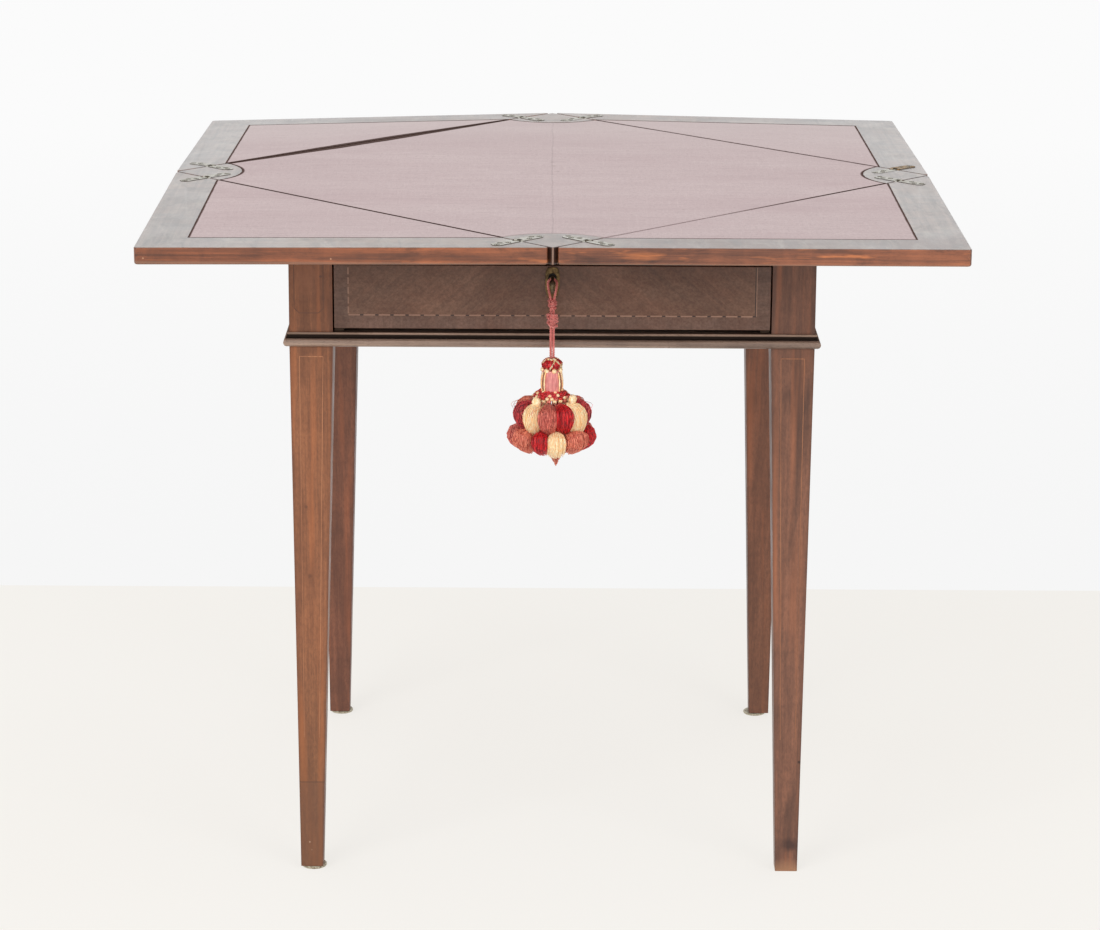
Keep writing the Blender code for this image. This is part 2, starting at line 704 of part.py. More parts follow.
# Tassel: a doubled cord with two knots, a head and a skirt of looped tufts
def strand_route():
    """The cord's centre line, up the left strand, over the key's shaft and down the right one."""
    loop_centre = KEY_SHAFT_RADIUS + FIT + CORD_RADIUS - LOOP_RADIUS
    foot = -HEAD_DROP + FIT
    knot = -SMALL_KNOT_DROP
    side = []
    for step in range(CORD_STEPS):
        side.append((CORD_HALF_SPACING, foot + (knot - foot) * step / CORD_STEPS))
    for step in range(CORD_STEPS):
        share = step / CORD_STEPS
        ease = share * share * (3 - 2 * share)
        side.append((CORD_HALF_SPACING + (LOOP_RADIUS - CORD_HALF_SPACING) * ease, knot + (loop_centre - knot) * share))
    arc = []
    for step in range(2 * CORD_STEPS + 1):
        angle = math.pi - math.pi * step / (2 * CORD_STEPS)
        arc.append((LOOP_RADIUS * math.cos(angle), loop_centre + LOOP_RADIUS * math.sin(angle)))
    return [(-x, z) for x, z in side] + arc + [(x, z) for x, z in reversed(side)]


def ball_profile(radius, height, middle, steps):
    points = []
    for step in range(steps + 1):
        angle = -math.pi / 2 + math.pi * step / steps
        points.append((abs(radius * math.cos(angle)) if 0 < step < steps else 0.0, middle + height / 2 * math.sin(angle)))
    return points


def make_tassel_cord(parent):
    curve = bpy.data.curves.new("tassel_cord_route", "CURVE")
    curve.dimensions = "3D"
    curve.bevel_depth = CORD_RADIUS
    curve.bevel_resolution = 2
    curve.use_fill_caps = True
    route = strand_route()
    spline = curve.splines.new("POLY")
    spline.points.add(len(route) - 1)
    for point, (x, z) in zip(spline.points, route):
        point.co = (x, 0.0, z, 1.0)
    guide = bpy.data.objects.new("tassel_cord_route", curve)
    bpy.context.scene.collection.objects.link(guide)
    shape = bmesh.new()
    shape.from_mesh(guide.to_mesh())
    guide.to_mesh_clear()
    bpy.data.objects.remove(guide)
    cord = add_mesh("tassel_cord", shape, CORD_PINK, parent, math.radians(60))
    small = ball_profile(SMALL_KNOT_RADIUS, SMALL_KNOT_HEIGHT, -SMALL_KNOT_DROP, BEAD_STEPS)
    big = ball_profile(BIG_KNOT_RADIUS, BIG_KNOT_HEIGHT, -BIG_KNOT_DROP, BEAD_STEPS)
    boolean(cord, turned(small, ROUND_STEPS // 2), "UNION", parent)
    boolean(cord, turned(big, ROUND_STEPS // 2), "UNION", parent)


def make_tassel_head(parent):
    top = -HEAD_DROP
    ball_low = top - BALL_HEIGHT
    barrel_low = ball_low - BARREL_HEIGHT
    ring_low = barrel_low - COLLAR_RING_HEIGHT
    profile = [(0.0, top)]
    for step in range(1, BEAD_STEPS):
        angle = math.pi / 2 - math.pi * step / BEAD_STEPS
        profile.append((BALL_RADIUS * math.cos(angle), ball_low + BALL_HEIGHT / 2 * (1 + math.sin(angle))))
    for step in range(BEAD_STEPS):
        share = step / BEAD_STEPS
        swell = 1 - (2 * share - 1) ** 2
        neck = BARREL_RADIUS * 4 / 5
        profile.append((neck + (BARREL_RADIUS - neck) * swell, ball_low - BARREL_HEIGHT * share))
    for step in range(BEAD_STEPS // 2 + 1):
        angle = math.pi / 2 - math.pi * step / (BEAD_STEPS // 2)
        middle = barrel_low - COLLAR_RING_HEIGHT / 2
        reach = COLLAR_RING_RADIUS - COLLAR_RING_HEIGHT / 2
        profile.append((reach + COLLAR_RING_HEIGHT / 2 * math.cos(angle), middle + COLLAR_RING_HEIGHT / 2 * math.sin(angle)))
    profile.append((0.0, ring_low))
    add_mesh("tassel_head", turned(profile, ROUND_STEPS), CORD_PINK, parent, math.radians(60))


def skirt_levels():
    """Height below the skirt's top and share of its radius, through both tiers to the tip."""
    upper_shares = ((0.0, 0.36), (0.12, 0.58), (0.35, 0.86), (0.62, 1.0), (0.82, 0.98), (0.96, 0.84))
    lower_shares = ((0.10, 0.86), (0.32, 1.0), (0.62, 0.96), (0.86, 0.80), (1.0, 0.62))
    levels = [(UPPER_TIER_HEIGHT * down, SKIRT_RADIUS * out) for down, out in upper_shares]
    levels += [(UPPER_TIER_HEIGHT + LOWER_TIER_HEIGHT * down, SKIRT_RADIUS * out) for down, out in lower_shares]
    whole = UPPER_TIER_HEIGHT + LOWER_TIER_HEIGHT
    return levels + [(whole, SKIRT_TIP_RADIUS), (whole + SKIRT_TIP_HEIGHT, SKIRT_TIP_RADIUS / 2)]


def make_tassel_skirt(parent):
    top = -HEAD_DROP - BALL_HEIGHT - BARREL_HEIGHT - COLLAR_RING_HEIGHT - FIT
    count = TUFTS * TUFT_STEPS
    rings = []
    for down, radius in skirt_levels():
        turn = math.pi / TUFTS if down > UPPER_TIER_HEIGHT else 0.0
        ring = []
        for step in range(count):
            angle = 2 * math.pi * step / count
            lobe = abs(math.sin(TUFTS * angle / 2 + turn * TUFTS / 2))
            reach = radius * (1 - TUFT_DEPTH_SHARE * (1 - lobe))
            ring.append((reach * math.cos(angle), reach * math.sin(angle), top - down))
        rings.append(ring)
    rings.reverse()
    add_mesh("tassel_skirt", loft(rings), CORD_PINK, parent, math.radians(60))


# Top: a diamond board with four flaps, all lined with baize let into the wood
def board_outline(side, corner_radius, steps):
    reach = side / math.sqrt(2)
    corners = [(reach, 0.0), (0.0, reach), (-reach, 0.0), (0.0, -reach)]
    return rounded(corners, [corner_radius] * 4, steps)


def quadrant_outline(side, radius, setback):
    """A diamond whose corners are bitten out by arcs centred on the nominal vertices."""
    vertex = CLOSED_SIDE / math.sqrt(2)
    half_seam = side / 2 - setback
    along = HALF_CLOSED - math.sqrt(radius ** 2 - (HALF_CLOSED - half_seam) ** 2)
    outline = []
    for quarter in range(4):
        turn = Matrix.Rotation(quarter * math.pi / 2, 2)
        first = Matrix.Rotation(-math.pi / 4, 2) @ Vector((half_seam, along))
        last = Matrix.Rotation(math.pi / 4, 2) @ Vector((half_seam, -along))
        centre = Vector((vertex, 0.0))
        start = math.atan2((first - centre).y, (first - centre).x)
        end = math.atan2((last - centre).y, (last - centre).x)
        start = start if start > 0 else start + 2 * math.pi
        end = end if end > 0 else end + 2 * math.pi
        for step in range(QUADRANT_STEPS + 1):
            angle = start + (end - start) * step / QUADRANT_STEPS
            outline.append(tuple(turn @ (centre + radius * Vector((math.cos(angle), math.sin(angle))))))
    return outline


def make_board(parent):
    shape = prism(board_outline(CLOSED_SIDE - SEAM_GAP, BOARD_CORNER_ROUND, 2), UNDERSIDE, TABLE_HEIGHT)
    round_edges(shape, lambda edge: flat_at(edge, TABLE_HEIGHT), TOP_EDGE_ROUND, 2)
    board = add_mesh("base_board", shape, MAHOGANY, parent, math.radians(30))
    recess = quadrant_outline(CLOSED_SIDE + OVERRUN, QUADRANT_RADIUS, 0.0)
    boolean(board, prism(recess, TABLE_HEIGHT - BAIZE_RECESS, TABLE_HEIGHT + OVERRUN), "DIFFERENCE", parent)
    for name, turn in SEAM_TURN.items():
        seam = Matrix.Rotation(turn, 4, "Z") @ Matrix.Translation((HALF_CLOSED, 0.0, TABLE_HEIGHT))
        for sign in (-1, 1):
            for tool in hinge_recess():
                boolean(board, placed(placed(tool, hinge_place(sign, -1)), seam), "DIFFERENCE", parent)
    cloth = quadrant_outline(CLOSED_SIDE - SEAM_GAP, QUADRANT_RADIUS + FIT, BAIZE_SEAM_SETBACK)
    add_mesh("base_baize", prism(cloth, TABLE_HEIGHT - BAIZE_THICKNESS, TABLE_HEIGHT), BAIZE, parent)
    return board


def flap_corners(start, setback):
    """The triangle of a flap in its seam's frame: seam side at x = start, apex at +X."""
    reach = HALF_CLOSED - setback * math.sqrt(2)
    return [(start, -(reach - start)), (reach, 0.0), (start, reach - start)]


def make_flap(name, parent, pin):
    """All shapes are in the seam's frame, moved so that the flap's hinge pins lie on the parent's axis."""
    home = Matrix.Translation(-pin)
    radii = [FLAP_TIP_ROUND, FLAP_CORNER_ROUND, FLAP_TIP_ROUND]
    outline = rounded(flap_corners(SEAM_GAP / 2, FLAP_SETBACK), radii, 3)
    shape = prism(outline, -TOP_THICKNESS, 0.0)
    round_edges(shape, lambda edge: flat_at(edge, 0.0), TOP_EDGE_ROUND, 2)
    seam_side = SEAM_GAP / 2 + FIT

    def outer(edge):
        return flat_at(edge, -TOP_THICKNESS) and any(vert.co.x > seam_side for vert in edge.verts)

    round_edges(shape, outer, UNDER_EDGE_ROUND, 3)
    flap = add_mesh(f"flap_{name}", placed(shape, home), MAHOGANY, parent, math.radians(30))
    inset = BORDER_WIDTH
    recess = prism(flap_corners(0.0, inset), -BAIZE_RECESS, OVERRUN)
    boolean(flap, placed(recess, home), "DIFFERENCE", parent)
    for sign in (-1, 1):
        for tool in hinge_recess():
            boolean(flap, placed(placed(tool, hinge_place(sign, 1)), home), "DIFFERENCE", parent)
    cloth = flap_corners(SEAM_GAP / 2 + BAIZE_SEAM_SETBACK, inset + FIT)
    add_mesh(f"baize_{name}", placed(prism(cloth, -BAIZE_THICKNESS, 0.0), home), BAIZE, parent)


# Link hinges: two leaves let in flush, each with a fork, and a link whose two pins turn in the forks
def hinge_place(sign, side):
    """From a hinge's own frame, leaf along +X from the seam, to its place along the seam."""
    along = sign * (HALF_CLOSED - HINGE_INSET)
    flip = Matrix.Identity(4) if side > 0 else Matrix.Rotation(math.pi, 4, "Z")
    return Matrix.Translation((0.0, along, 0.0)) @ flip


def leaf_outline(length, width, start):
    """A strap with a round end."""
    reach = SEAM_GAP / 2 + length
    half = width / 2
    points = [(start, half), (start, -half)]
    for step in range(KNUCKLE_STEPS + 1):
        angle = -math.pi / 2 + math.pi * step / KNUCKLE_STEPS
        points.append((reach - half + half * math.cos(angle), half * math.sin(angle)))
    return points


def hinge_recess():
    """Tools that sink a leaf and the swing of the link into the wood."""
    strap = prism(
        leaf_outline(LEAF_LENGTH + FIT, LEAF_WIDTH + 2 * FIT, -OVERRUN),
        -LEAF_SINK - LEAF_THICKNESS - FIT,
        OVERRUN,
    )
    half = LEAF_WIDTH / 2 + FIT + POCKET_EASE
    pocket = block(
        (-OVERRUN - POCKET_EASE, -half, -PIN_DEPTH - KNUCKLE_RADIUS - 2 * FIT),
        (PIN_OFFSET + KNUCKLE_RADIUS + 2 * FIT, half, OVERRUN + POCKET_EASE),
    )
    return strap, pocket


def cross_rod(radius, length, centre_x, centre_z, steps):
    """A round rod along Y."""
    rod = turned([(0.0, -length / 2), (radius, -length / 2), (radius, length / 2), (0.0, length / 2)], steps)
    lying = Matrix.Translation((centre_x, 0.0, centre_z)) @ Matrix.Rotation(math.radians(90), 4, "X")
    return placed(rod, lying)


def make_leaf(name, parent, to_parent):
    slot_end = PIN_OFFSET + KNUCKLE_RADIUS + FIT
    strap = prism(leaf_outline(LEAF_LENGTH, LEAF_WIDTH, PIN_OFFSET), -LEAF_SINK - LEAF_THICKNESS, -LEAF_SINK)
    leaf = add_mesh(name, placed(strap, to_parent), BRASS, parent)
    knuckle = cross_rod(KNUCKLE_RADIUS, LEAF_WIDTH - FIT, PIN_OFFSET, -PIN_DEPTH, 2 * KNUCKLE_STEPS)
    boolean(leaf, placed(knuckle, to_parent), "UNION", parent)
    half = LINK_WIDTH / 2 + FIT
    slot = block((-OVERRUN, -half, -OVERRUN), (slot_end, half, OVERRUN))
    boolean(leaf, placed(slot, to_parent), "DIFFERENCE", parent)
    hole = cross_rod(PIN_RADIUS + FIT, LEAF_WIDTH + OVERRUN, PIN_OFFSET, -PIN_DEPTH, KNUCKLE_STEPS)
    boolean(leaf, placed(hole, to_parent), "DIFFERENCE", parent)


def make_link(name, parent, along):
    """In a frame whose origin is the board-side pin's axis; the flap-side pin is one link length away."""
    length = 2 * PIN_OFFSET
    outline = []
    for centre, start in ((0.0, math.pi / 2), (length, -math.pi / 2)):
        for step in range(KNUCKLE_STEPS + 1):
            angle = start + math.pi * step / KNUCKLE_STEPS
            outline.append((centre + KNUCKLE_RADIUS * math.cos(angle), KNUCKLE_RADIUS * math.sin(angle)))
    bar = prism(outline, -LINK_WIDTH / 2, LINK_WIDTH / 2)
    upright = Matrix.Translation((0.0, along, 0.0)) @ Matrix.Rotation(math.radians(90), 4, "X")
    link = add_mesh(name, placed(bar, upright), BRASS, parent)
    for centre in (0.0, length):
        pin = cross_rod(PIN_RADIUS, LEAF_WIDTH - 2 * FIT, centre, 0.0, KNUCKLE_STEPS)
        boolean(link, placed(pin, Matrix.Translation((0.0, along, 0.0))), "UNION", parent)


def make_seam(name, top):
    """Everything on one side of the board: its leaves, the links and the flap."""
    seam = add_empty(f"seam_{name}", (0.0, 0.0, TABLE_HEIGHT), (0.0, 0.0, SEAM_TURN[name]), top)
    board_pin = Vector((HALF_CLOSED - PIN_OFFSET, 0.0, -PIN_DEPTH))
    flap_pin = Vector((HALF_CLOSED + PIN_OFFSET, 0.0, -PIN_DEPTH))
    links = add_empty(f"links_{name}", board_pin, parent=seam)
    fold = add_empty(f"fold_{name}", flap_pin, (0.0, DROOP[name], 0.0), seam)
    pin = Vector((PIN_OFFSET, 0.0, -PIN_DEPTH))
    make_flap(name, fold, pin)
    for label, sign in (("a", -1), ("b", 1)):
        on_board = Matrix.Translation((HALF_CLOSED, 0.0, 0.0)) @ hinge_place(sign, -1)
        make_leaf(f"board_leaf_{name}_{label}", seam, on_board)
        make_leaf(f"flap_leaf_{name}_{label}", fold, Matrix.Translation(-pin) @ hinge_place(sign, 1))
        make_link(f"link_{name}_{label}", links, sign * (HALF_CLOSED - HINGE_INSET))


clear_scene()

MAHOGANY = material("mahogany", (0.27, 0.10, 0.05), 0.35)
MAHOGANY_INSIDE = material("mahogany_inside", (0.33, 0.17, 0.10), 0.6)
OAK = material("drawer_wood", (0.50, 0.33, 0.19), 0.6)
BRASS = material("hinge_brass", (0.60, 0.47, 0.22), 0.4, 1.0)
STEEL = material("worn_steel", (0.45, 0.43, 0.38), 0.45, 1.0)
BAIZE = material("baize", (0.60, 0.48, 0.50), 0.95)
CORD_PINK = material("tassel_cord", (0.62, 0.16, 0.18), 0.8)

make_legs()
make_glides()
for rail_label, rail_side in mirrored_places():
    make_side_rail(f"side_rail_{rail_label}", rail_side)
make_back_rail()
make_front_rails()
make_moulding()
make_bearer()

DRAWER_SLIDE = add_empty("drawer_slide", (0.0, 0.0, 0.0))
make_drawer(DRAWER_SLIDE)
make_lock(DRAWER_SLIDE)
make_escutcheon(DRAWER_SLIDE)
KEY_TURN = add_empty("key_turn", (0.0, FRONT_FACE, KEY_HEIGHT), parent=DRAWER_SLIDE)
make_key(KEY_TURN)
TASSEL_SWING = add_empty("tassel_swing", (0.0, FRONT_FACE - TASSEL_OUT, KEY_HEIGHT), parent=DRAWER_SLIDE)
make_tassel_cord(TASSEL_SWING)
make_tassel_head(TASSEL_SWING)
make_tassel_skirt(TASSEL_SWING)

TOP_SWIVEL = add_empty("top_swivel", (0.0, 0.0, 0.0))
make_pivot_bolt(TOP_SWIVEL)
make_board(TOP_SWIVEL)
for seam_name in SEAM_TURN:
    make_seam(seam_name, TOP_SWIVEL)
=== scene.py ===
import random
from functools import partialmethod
from math import cos, pi, radians, sin, sqrt

import bmesh
import bpy
from mathutils import Matrix, Vector, noise


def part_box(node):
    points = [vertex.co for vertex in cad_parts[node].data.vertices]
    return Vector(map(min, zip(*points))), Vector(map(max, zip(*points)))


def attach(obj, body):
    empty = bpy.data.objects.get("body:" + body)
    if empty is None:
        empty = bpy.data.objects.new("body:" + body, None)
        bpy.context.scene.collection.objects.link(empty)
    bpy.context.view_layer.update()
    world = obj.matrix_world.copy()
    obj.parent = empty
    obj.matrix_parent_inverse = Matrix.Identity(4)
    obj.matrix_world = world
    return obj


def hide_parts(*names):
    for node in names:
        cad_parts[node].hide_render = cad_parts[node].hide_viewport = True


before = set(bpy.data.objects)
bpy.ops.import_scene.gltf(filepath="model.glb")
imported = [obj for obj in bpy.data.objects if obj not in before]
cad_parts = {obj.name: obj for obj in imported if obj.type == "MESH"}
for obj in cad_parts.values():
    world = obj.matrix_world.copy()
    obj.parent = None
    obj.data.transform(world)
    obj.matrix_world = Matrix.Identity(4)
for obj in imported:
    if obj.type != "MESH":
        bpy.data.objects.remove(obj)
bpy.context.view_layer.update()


# Studio: a warm white floor that ends behind the table, a white backdrop beyond it, an even sky
# of light and two big soft lamps. The camera stands 3.8 m in front, a little above the top.
def tint(*channels):
    """A colour given as it looks on a screen, 0 to 255, as the shaders want it."""
    shares = [channel / 255 for channel in channels]
    return (*[part / 12.92 if part < 0.0431 else ((part + 0.055) / 1.055) ** 2.4 for part in shares], 1.0)


def fill(node, feeds):
    """Give a node's sockets their values, or link them to the flows that they follow."""
    for socket, value in dict(feeds).items():
        if isinstance(value, Flow):
            tree.links.new(value.socket, node.inputs[socket])
        else:
            node.inputs[socket].default_value = value


def add(kind, feeds=(), outlet=0, **settings):
    """Add a shader node to what was begun last, and follow one of its outlets."""
    node = tree.nodes.new(kind)
    for name, value in settings.items():
        setattr(node, name, value)
    fill(node, feeds)
    return Flow(node.outputs[outlet])


class Flow:
    """A number or colour on its way through the shader nodes; a sum of two is written as a sum."""

    def __init__(self, socket):
        self.socket = socket

    def reckon(self, operation, *others, **settings):
        return add("ShaderNodeMath", enumerate((self, *others)), operation=operation, **settings)

    __add__ = partialmethod(reckon, "ADD")
    __sub__ = partialmethod(reckon, "SUBTRACT")
    __mul__ = partialmethod(reckon, "MULTIPLY")
    __truediv__ = partialmethod(reckon, "DIVIDE")
    __pow__ = partialmethod(reckon, "POWER")
    __abs__ = partialmethod(reckon, "ABSOLUTE")
    __gt__ = partialmethod(reckon, "GREATER_THAN")
    __lt__ = partialmethod(reckon, "LESS_THAN")
    larger = partialmethod(reckon, "MAXIMUM")
    smaller = partialmethod(reckon, "MINIMUM")

    def between(self, low, high, top=1.0, bottom=0.0):
        """This value stretched from low..high to bottom..top, and held there."""
        stretch = {"Value": self, "From Min": low, "From Max": high, "To Min": bottom, "To Max": top}
        return add("ShaderNodeMapRange", stretch, clamp=True)

    def stained(self, share, stain):
        """This colour under a stain."""
        return blended(share, self, stain)

    def dulled(self, share, veil):
        """This colour seen through a thin veil."""
        return blended(share, self, blended(1.0, self, veil, mode="MULTIPLY"))


def blended(share, *colours, mode="MIX"):
    """A mix of two colours, each a flow or a tone from 0 to 255."""
    first, second = [each if isinstance(each, Flow) else tint(*each) for each in colours]
    return add("ShaderNodeMix", {0: share, 6: first, 7: second}, 2, data_type="RGBA", blend_type=mode)


def object_place():
    return add("ShaderNodeTexCoord", outlet="Object")


def axes():
    """The three coordinates of the point that is painted, in metres."""
    return [add("ShaderNodeSeparateXYZ", {0: object_place()}, number) for number in range(3)]


def cloud(size, detail=2.0, turn=(0.0, 0.0, 0.0), shift=(0.0, 0.0, 0.0), rough=0.5, warp=0.0):
    """Noise whose spots have the given size in metres along, across and through the grain."""
    scale = size if isinstance(size, tuple) else (size, size, size)
    lay = {"Vector": object_place(), "Location": shift, "Rotation": turn, "Scale": scale}
    laid = add("ShaderNodeMapping", lay, vector_type="TEXTURE")
    noisy = {"Vector": laid, "Scale": 1.0, "Detail": detail, "Roughness": rough, "Distortion": warp}
    return add("ShaderNodeTexNoise", noisy)


def begin(owner):
    """Begin the nodes of a finish or of the sky; the helpers add to what was begun last."""
    global tree, last_node, shader
    owner.use_nodes = True
    tree = owner.node_tree
    last_node = tree.get_output_node("ALL")
    shader = last_node.inputs["Surface"].links[0].from_node
    return owner


def new_finish(name):
    return begin(bpy.data.materials.new(name))


def seen_as(lit, glow, share=1.0):
    """Show a plain glow to rays that look at the background: straight, off gloss or through glass."""
    kinds = ("Camera", "Glossy", "Transmission")
    straight, glossy, painted_glow = [add("ShaderNodeLightPath", outlet=f"Is {kind} Ray") for kind in kinds]
    looking = straight.larger(glossy).larger(painted_glow) * share
    fill(last_node, {"Surface": add("ShaderNodeMixShader", {0: looking, 1: lit, 2: glow})})


def mesh_object(name, shape, *surfaces, smooth=None):
    """Turn a finished bmesh into an object with its surfaces, smooth up to an angle in degrees."""
    mesh = bpy.data.meshes.new(name)
    shape.to_mesh(mesh)
    shape.free()
    for surface in surfaces:
        mesh.materials.append(surface)
    if smooth is not None:
        mesh.shade_smooth()
        mesh.set_sharp_from_angle(angle=radians(smooth))
    made = bpy.data.objects.new(name, mesh)
    bpy.context.scene.collection.objects.link(made)
    if smooth is not None and smooth < 50:
        made.modifiers.new("face_weighted_shading", "WEIGHTED_NORMAL").keep_sharp = True
    return made


studio_reach, studio_front, floor_end, studio_back = 9.0, -11.0, 0.771, 11.0


def stage_plane(name, near, far, surface):
    """A flat ground from near to far, as wide as the studio."""
    shape = bmesh.new()
    corners = ((-studio_reach, near), (studio_reach, near), (studio_reach, far), (-studio_reach, far))
    shape.faces.new([shape.verts.new((x, y, 0.0)) for x, y in corners])
    mesh_object(name, shape, surface)


floor_paint = new_finish("warm_white_floor")
fill(shader, {"Roughness": 0.9, "Specular IOR Level": 0.1})
floor_tone = blended(cloud(1 / 1.1), (246, 243, 238), (249, 247, 243))
fill(shader, {"Base Color": floor_tone})
floor_glow = add("ShaderNodeEmission", {"Color": floor_tone, "Strength": 1.0})
seen_as(Flow(shader.outputs[0]), floor_glow, 0.79)
stage_plane("studio_floor", studio_front, floor_end, floor_paint)

backdrop_paint = new_finish("white_backdrop")
backdrop_tone = blended(axes()[1].between(0.9, 4.5), (246, 246, 246), (251, 251, 251))
backdrop_cloth = add("ShaderNodeBsdfDiffuse", {"Color": (0.85, 0.85, 0.85, 1.0)})
seen_as(backdrop_cloth, add("ShaderNodeEmission", {"Color": backdrop_tone, "Strength": 1.0}))
stage_plane("studio_backdrop", floor_end, studio_back, backdrop_paint)

bpy.context.scene.world = begin(bpy.data.worlds.new("studio_light"))
fill(shader, {"Color": (1.0, 0.99, 0.975, 1.0), "Strength": 0.72})
sky_glow = add("ShaderNodeBackground", {"Color": tint(247, 248, 249), "Strength": 1.0})
seen_as(Flow(shader.outputs[0]), sky_glow)


def soft_lamp(name, place, size, power):
    """A square lamp that is turned to the middle of the table."""
    lamp = bpy.data.lights.new(name, "AREA")
    lamp.shape = "SQUARE"
    lamp.size = size
    lamp.energy = power
    holder = bpy.data.objects.new(name, lamp)
    holder.location = place
    holder.rotation_mode = "QUATERNION"
    holder.rotation_quaternion = (Vector((0.0, 0.0, 0.4)) - Vector(place)).to_track_quat("-Z", "Y")
    bpy.context.scene.collection.objects.link(holder)


soft_lamp("lamp_front_left", (-2.2, -3.4, 3.0), 2.4, 82.0)
soft_lamp("lamp_front_right", (2.4, -3.2, 2.6), 2.0, 36.0)

bpy.context.scene.view_settings.view_transform = "Standard"
camera = bpy.data.objects.new("camera", bpy.data.cameras.new("camera"))
camera.data.sensor_width = 36.0
camera.data.lens = 113.56
camera.data.clip_start = 0.05
camera.data.clip_end = 60.0
look_aside, look_down, tilt = 0.00141, 0.26156, 0.0055
camera.matrix_world = (
    Matrix.Translation((-0.0064, -3.7677, 1.389))
    @ Matrix.Rotation(-look_aside, 4, "Z")
    @ Matrix.Rotation(pi / 2 - look_down, 4, "X")
    @ Matrix.Rotation(tilt, 4, "Z")
)
bpy.context.scene.collection.objects.link(camera)
bpy.context.scene.camera = camera


# Legs: four solid mahogany posts, square in the frame and tapered below it on their inner faces.
# They are planed from the log, strung with a fine line of boxwood on the front faces, and polished.
ALONG_X = (0.0, 0.0, 0.0)
ALONG_Y = (0.0, 0.0, radians(90))
ALONG_Z = (0.0, radians(-90), 0.0)
half_frame, post, foot, outer_taper, frame_foot = 0.2715, 0.045, 0.0238, 0.0043, 0.579


def shade(tone, share):
    return [channel * share for channel in tone]


def mahogany_grain(light, dark, turn, seed, figure=1.0, pore=0.3, contrast=1.0):
    """Colour, relief and tone of a board whose grain runs along the turned X axis."""
    shift = (seed * 1.7, seed * 0.31, seed * 0.77)
    drift = cloud((0.42, 0.055, 0.055), 3.0, turn, shift, 0.55, 0.4)
    streak = cloud((0.22, 0.0042, 0.0042), 4.0, turn, shift, 0.62, 0.25)
    fine = cloud((0.05, 0.0012, 0.0012), 2.0, turn, shift)
    cross = cloud((0.016, 0.03, 0.03), 2.0, turn, shift, 0.5, 0.6)
    pores = cloud((0.0042, 0.00042, 0.00042), 1.0, turn, shift)
    low, high = 0.5 - 0.2 / contrast, 0.5 + 0.2 / contrast
    tone = streak.between(low, high) * (0.42 * figure) + drift.between(low, high, 0.38)
    tone = fine.between(0.25, 0.75) * 0.16 + tone
    crossing = cross.between(0.3, 0.7, 0.5, -0.5)
    tone = crossing.reckon("MULTIPLY_ADD", 0.16 * figure, tone, use_clamp=True)
    open_pore = pores.between(0.4, 0.3)
    colour = blended(tone, dark, light).stained(open_pore * pore, shade(dark, 0.52))
    return colour, streak * 0.35 - open_pore, tone


def bumpy(height, strength, depth):
    return add("ShaderNodeBump", {"Strength": strength, "Distance": depth, "Height": height})


def polish(colour, relief, tone, rough, depth=0.00008):
    """Lay the worked colour, the gloss that follows it and the open grain on the shader."""
    worn = cloud(0.05, 4.0, rough=0.65).between(0.35, 0.7, rough + 0.12, rough - 0.06)
    gloss = worn + tone.between(0.0, 1.0, -0.03, 0.04)
    fill(shader, {"Base Color": colour, "Roughness": gloss, "Normal": bumpy(relief, 0.55, depth)})
    return gloss


def plain_wood(name, light, dark, turn, seed, rough=0.42, depth=0.00008, **grain):
    """A polished wood with nothing on it but its grain."""
    made = new_finish(name)
    polish(*mahogany_grain(light, dark, turn, seed, **grain), rough, depth)
    return made


def spotted(colour, place, radius, stain, amount):
    """Darken or lighten the colour round one place, with a ragged edge."""
    away = add("ShaderNodeVectorMath", {0: object_place(), 1: place}, "Value", operation="DISTANCE")
    ragged = cloud(0.012, 3.0) * (radius * 0.9) + away
    return colour.stained(ragged.between(radius * 1.35, radius * 0.75, amount), stain)


def finish_node(node, surface):
    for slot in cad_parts[node].material_slots:
        slot.material = surface


def piece(name, shape, *surfaces, body, slot, smooth=None, node=None):
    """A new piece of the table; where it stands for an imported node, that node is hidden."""
    made = mesh_object(name, shape, *surfaces, smooth=smooth)
    if node:
        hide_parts(node)
    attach(made, body)
    return made


def merged(node):
    """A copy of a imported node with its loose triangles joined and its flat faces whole."""
    shape = bmesh.new()
    shape.from_mesh(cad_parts[node].data)
    bmesh.ops.remove_doubles(shape, verts=shape.verts, dist=0.00002)
    bmesh.ops.recalc_face_normals(shape, faces=shape.faces)
    bmesh.ops.dissolve_limit(shape, angle_limit=radians(0.5), verts=shape.verts, edges=shape.edges)
    return shape


def eased(node, kind, body, surface, slot, width=0.0005):
    """A merged copy whose sharp corners are rubbed down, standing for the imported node."""
    shape = merged(node)
    joined = [edge for edge in shape.edges if len(edge.link_faces) == 2]
    sharp = [edge for edge in joined if edge.calc_face_angle() > radians(50)]
    bmesh.ops.bevel(
        shape, geom=sharp, offset=width, offset_type="OFFSET", segments=2, profile=0.5,
        affect="EDGES", clamp_overlap=True, material=-1,
    )
    return piece(f"{node}_{kind}", shape, surface, body=body, slot=slot, smooth=35, node=node)


# Each leg: its light and dark tone, seed, worn foot, painted shade at its top and smoky patches.
leg_tones = {
    "front_left": ((180, 116, 76), (110, 65, 42), 1.0, 1.0, 0.18, 0.4),
    "front_right": ((160, 106, 80), (90, 59, 47), 2.0, 0.0, 0.3, 0.75),
    "back_left": ((156, 98, 72), (94, 56, 42), 3.0, 0.0, 0.6, 0.4),
    "back_right": ((156, 100, 72), (94, 57, 42), 4.0, 0.5, 0.0, 0.4),
}
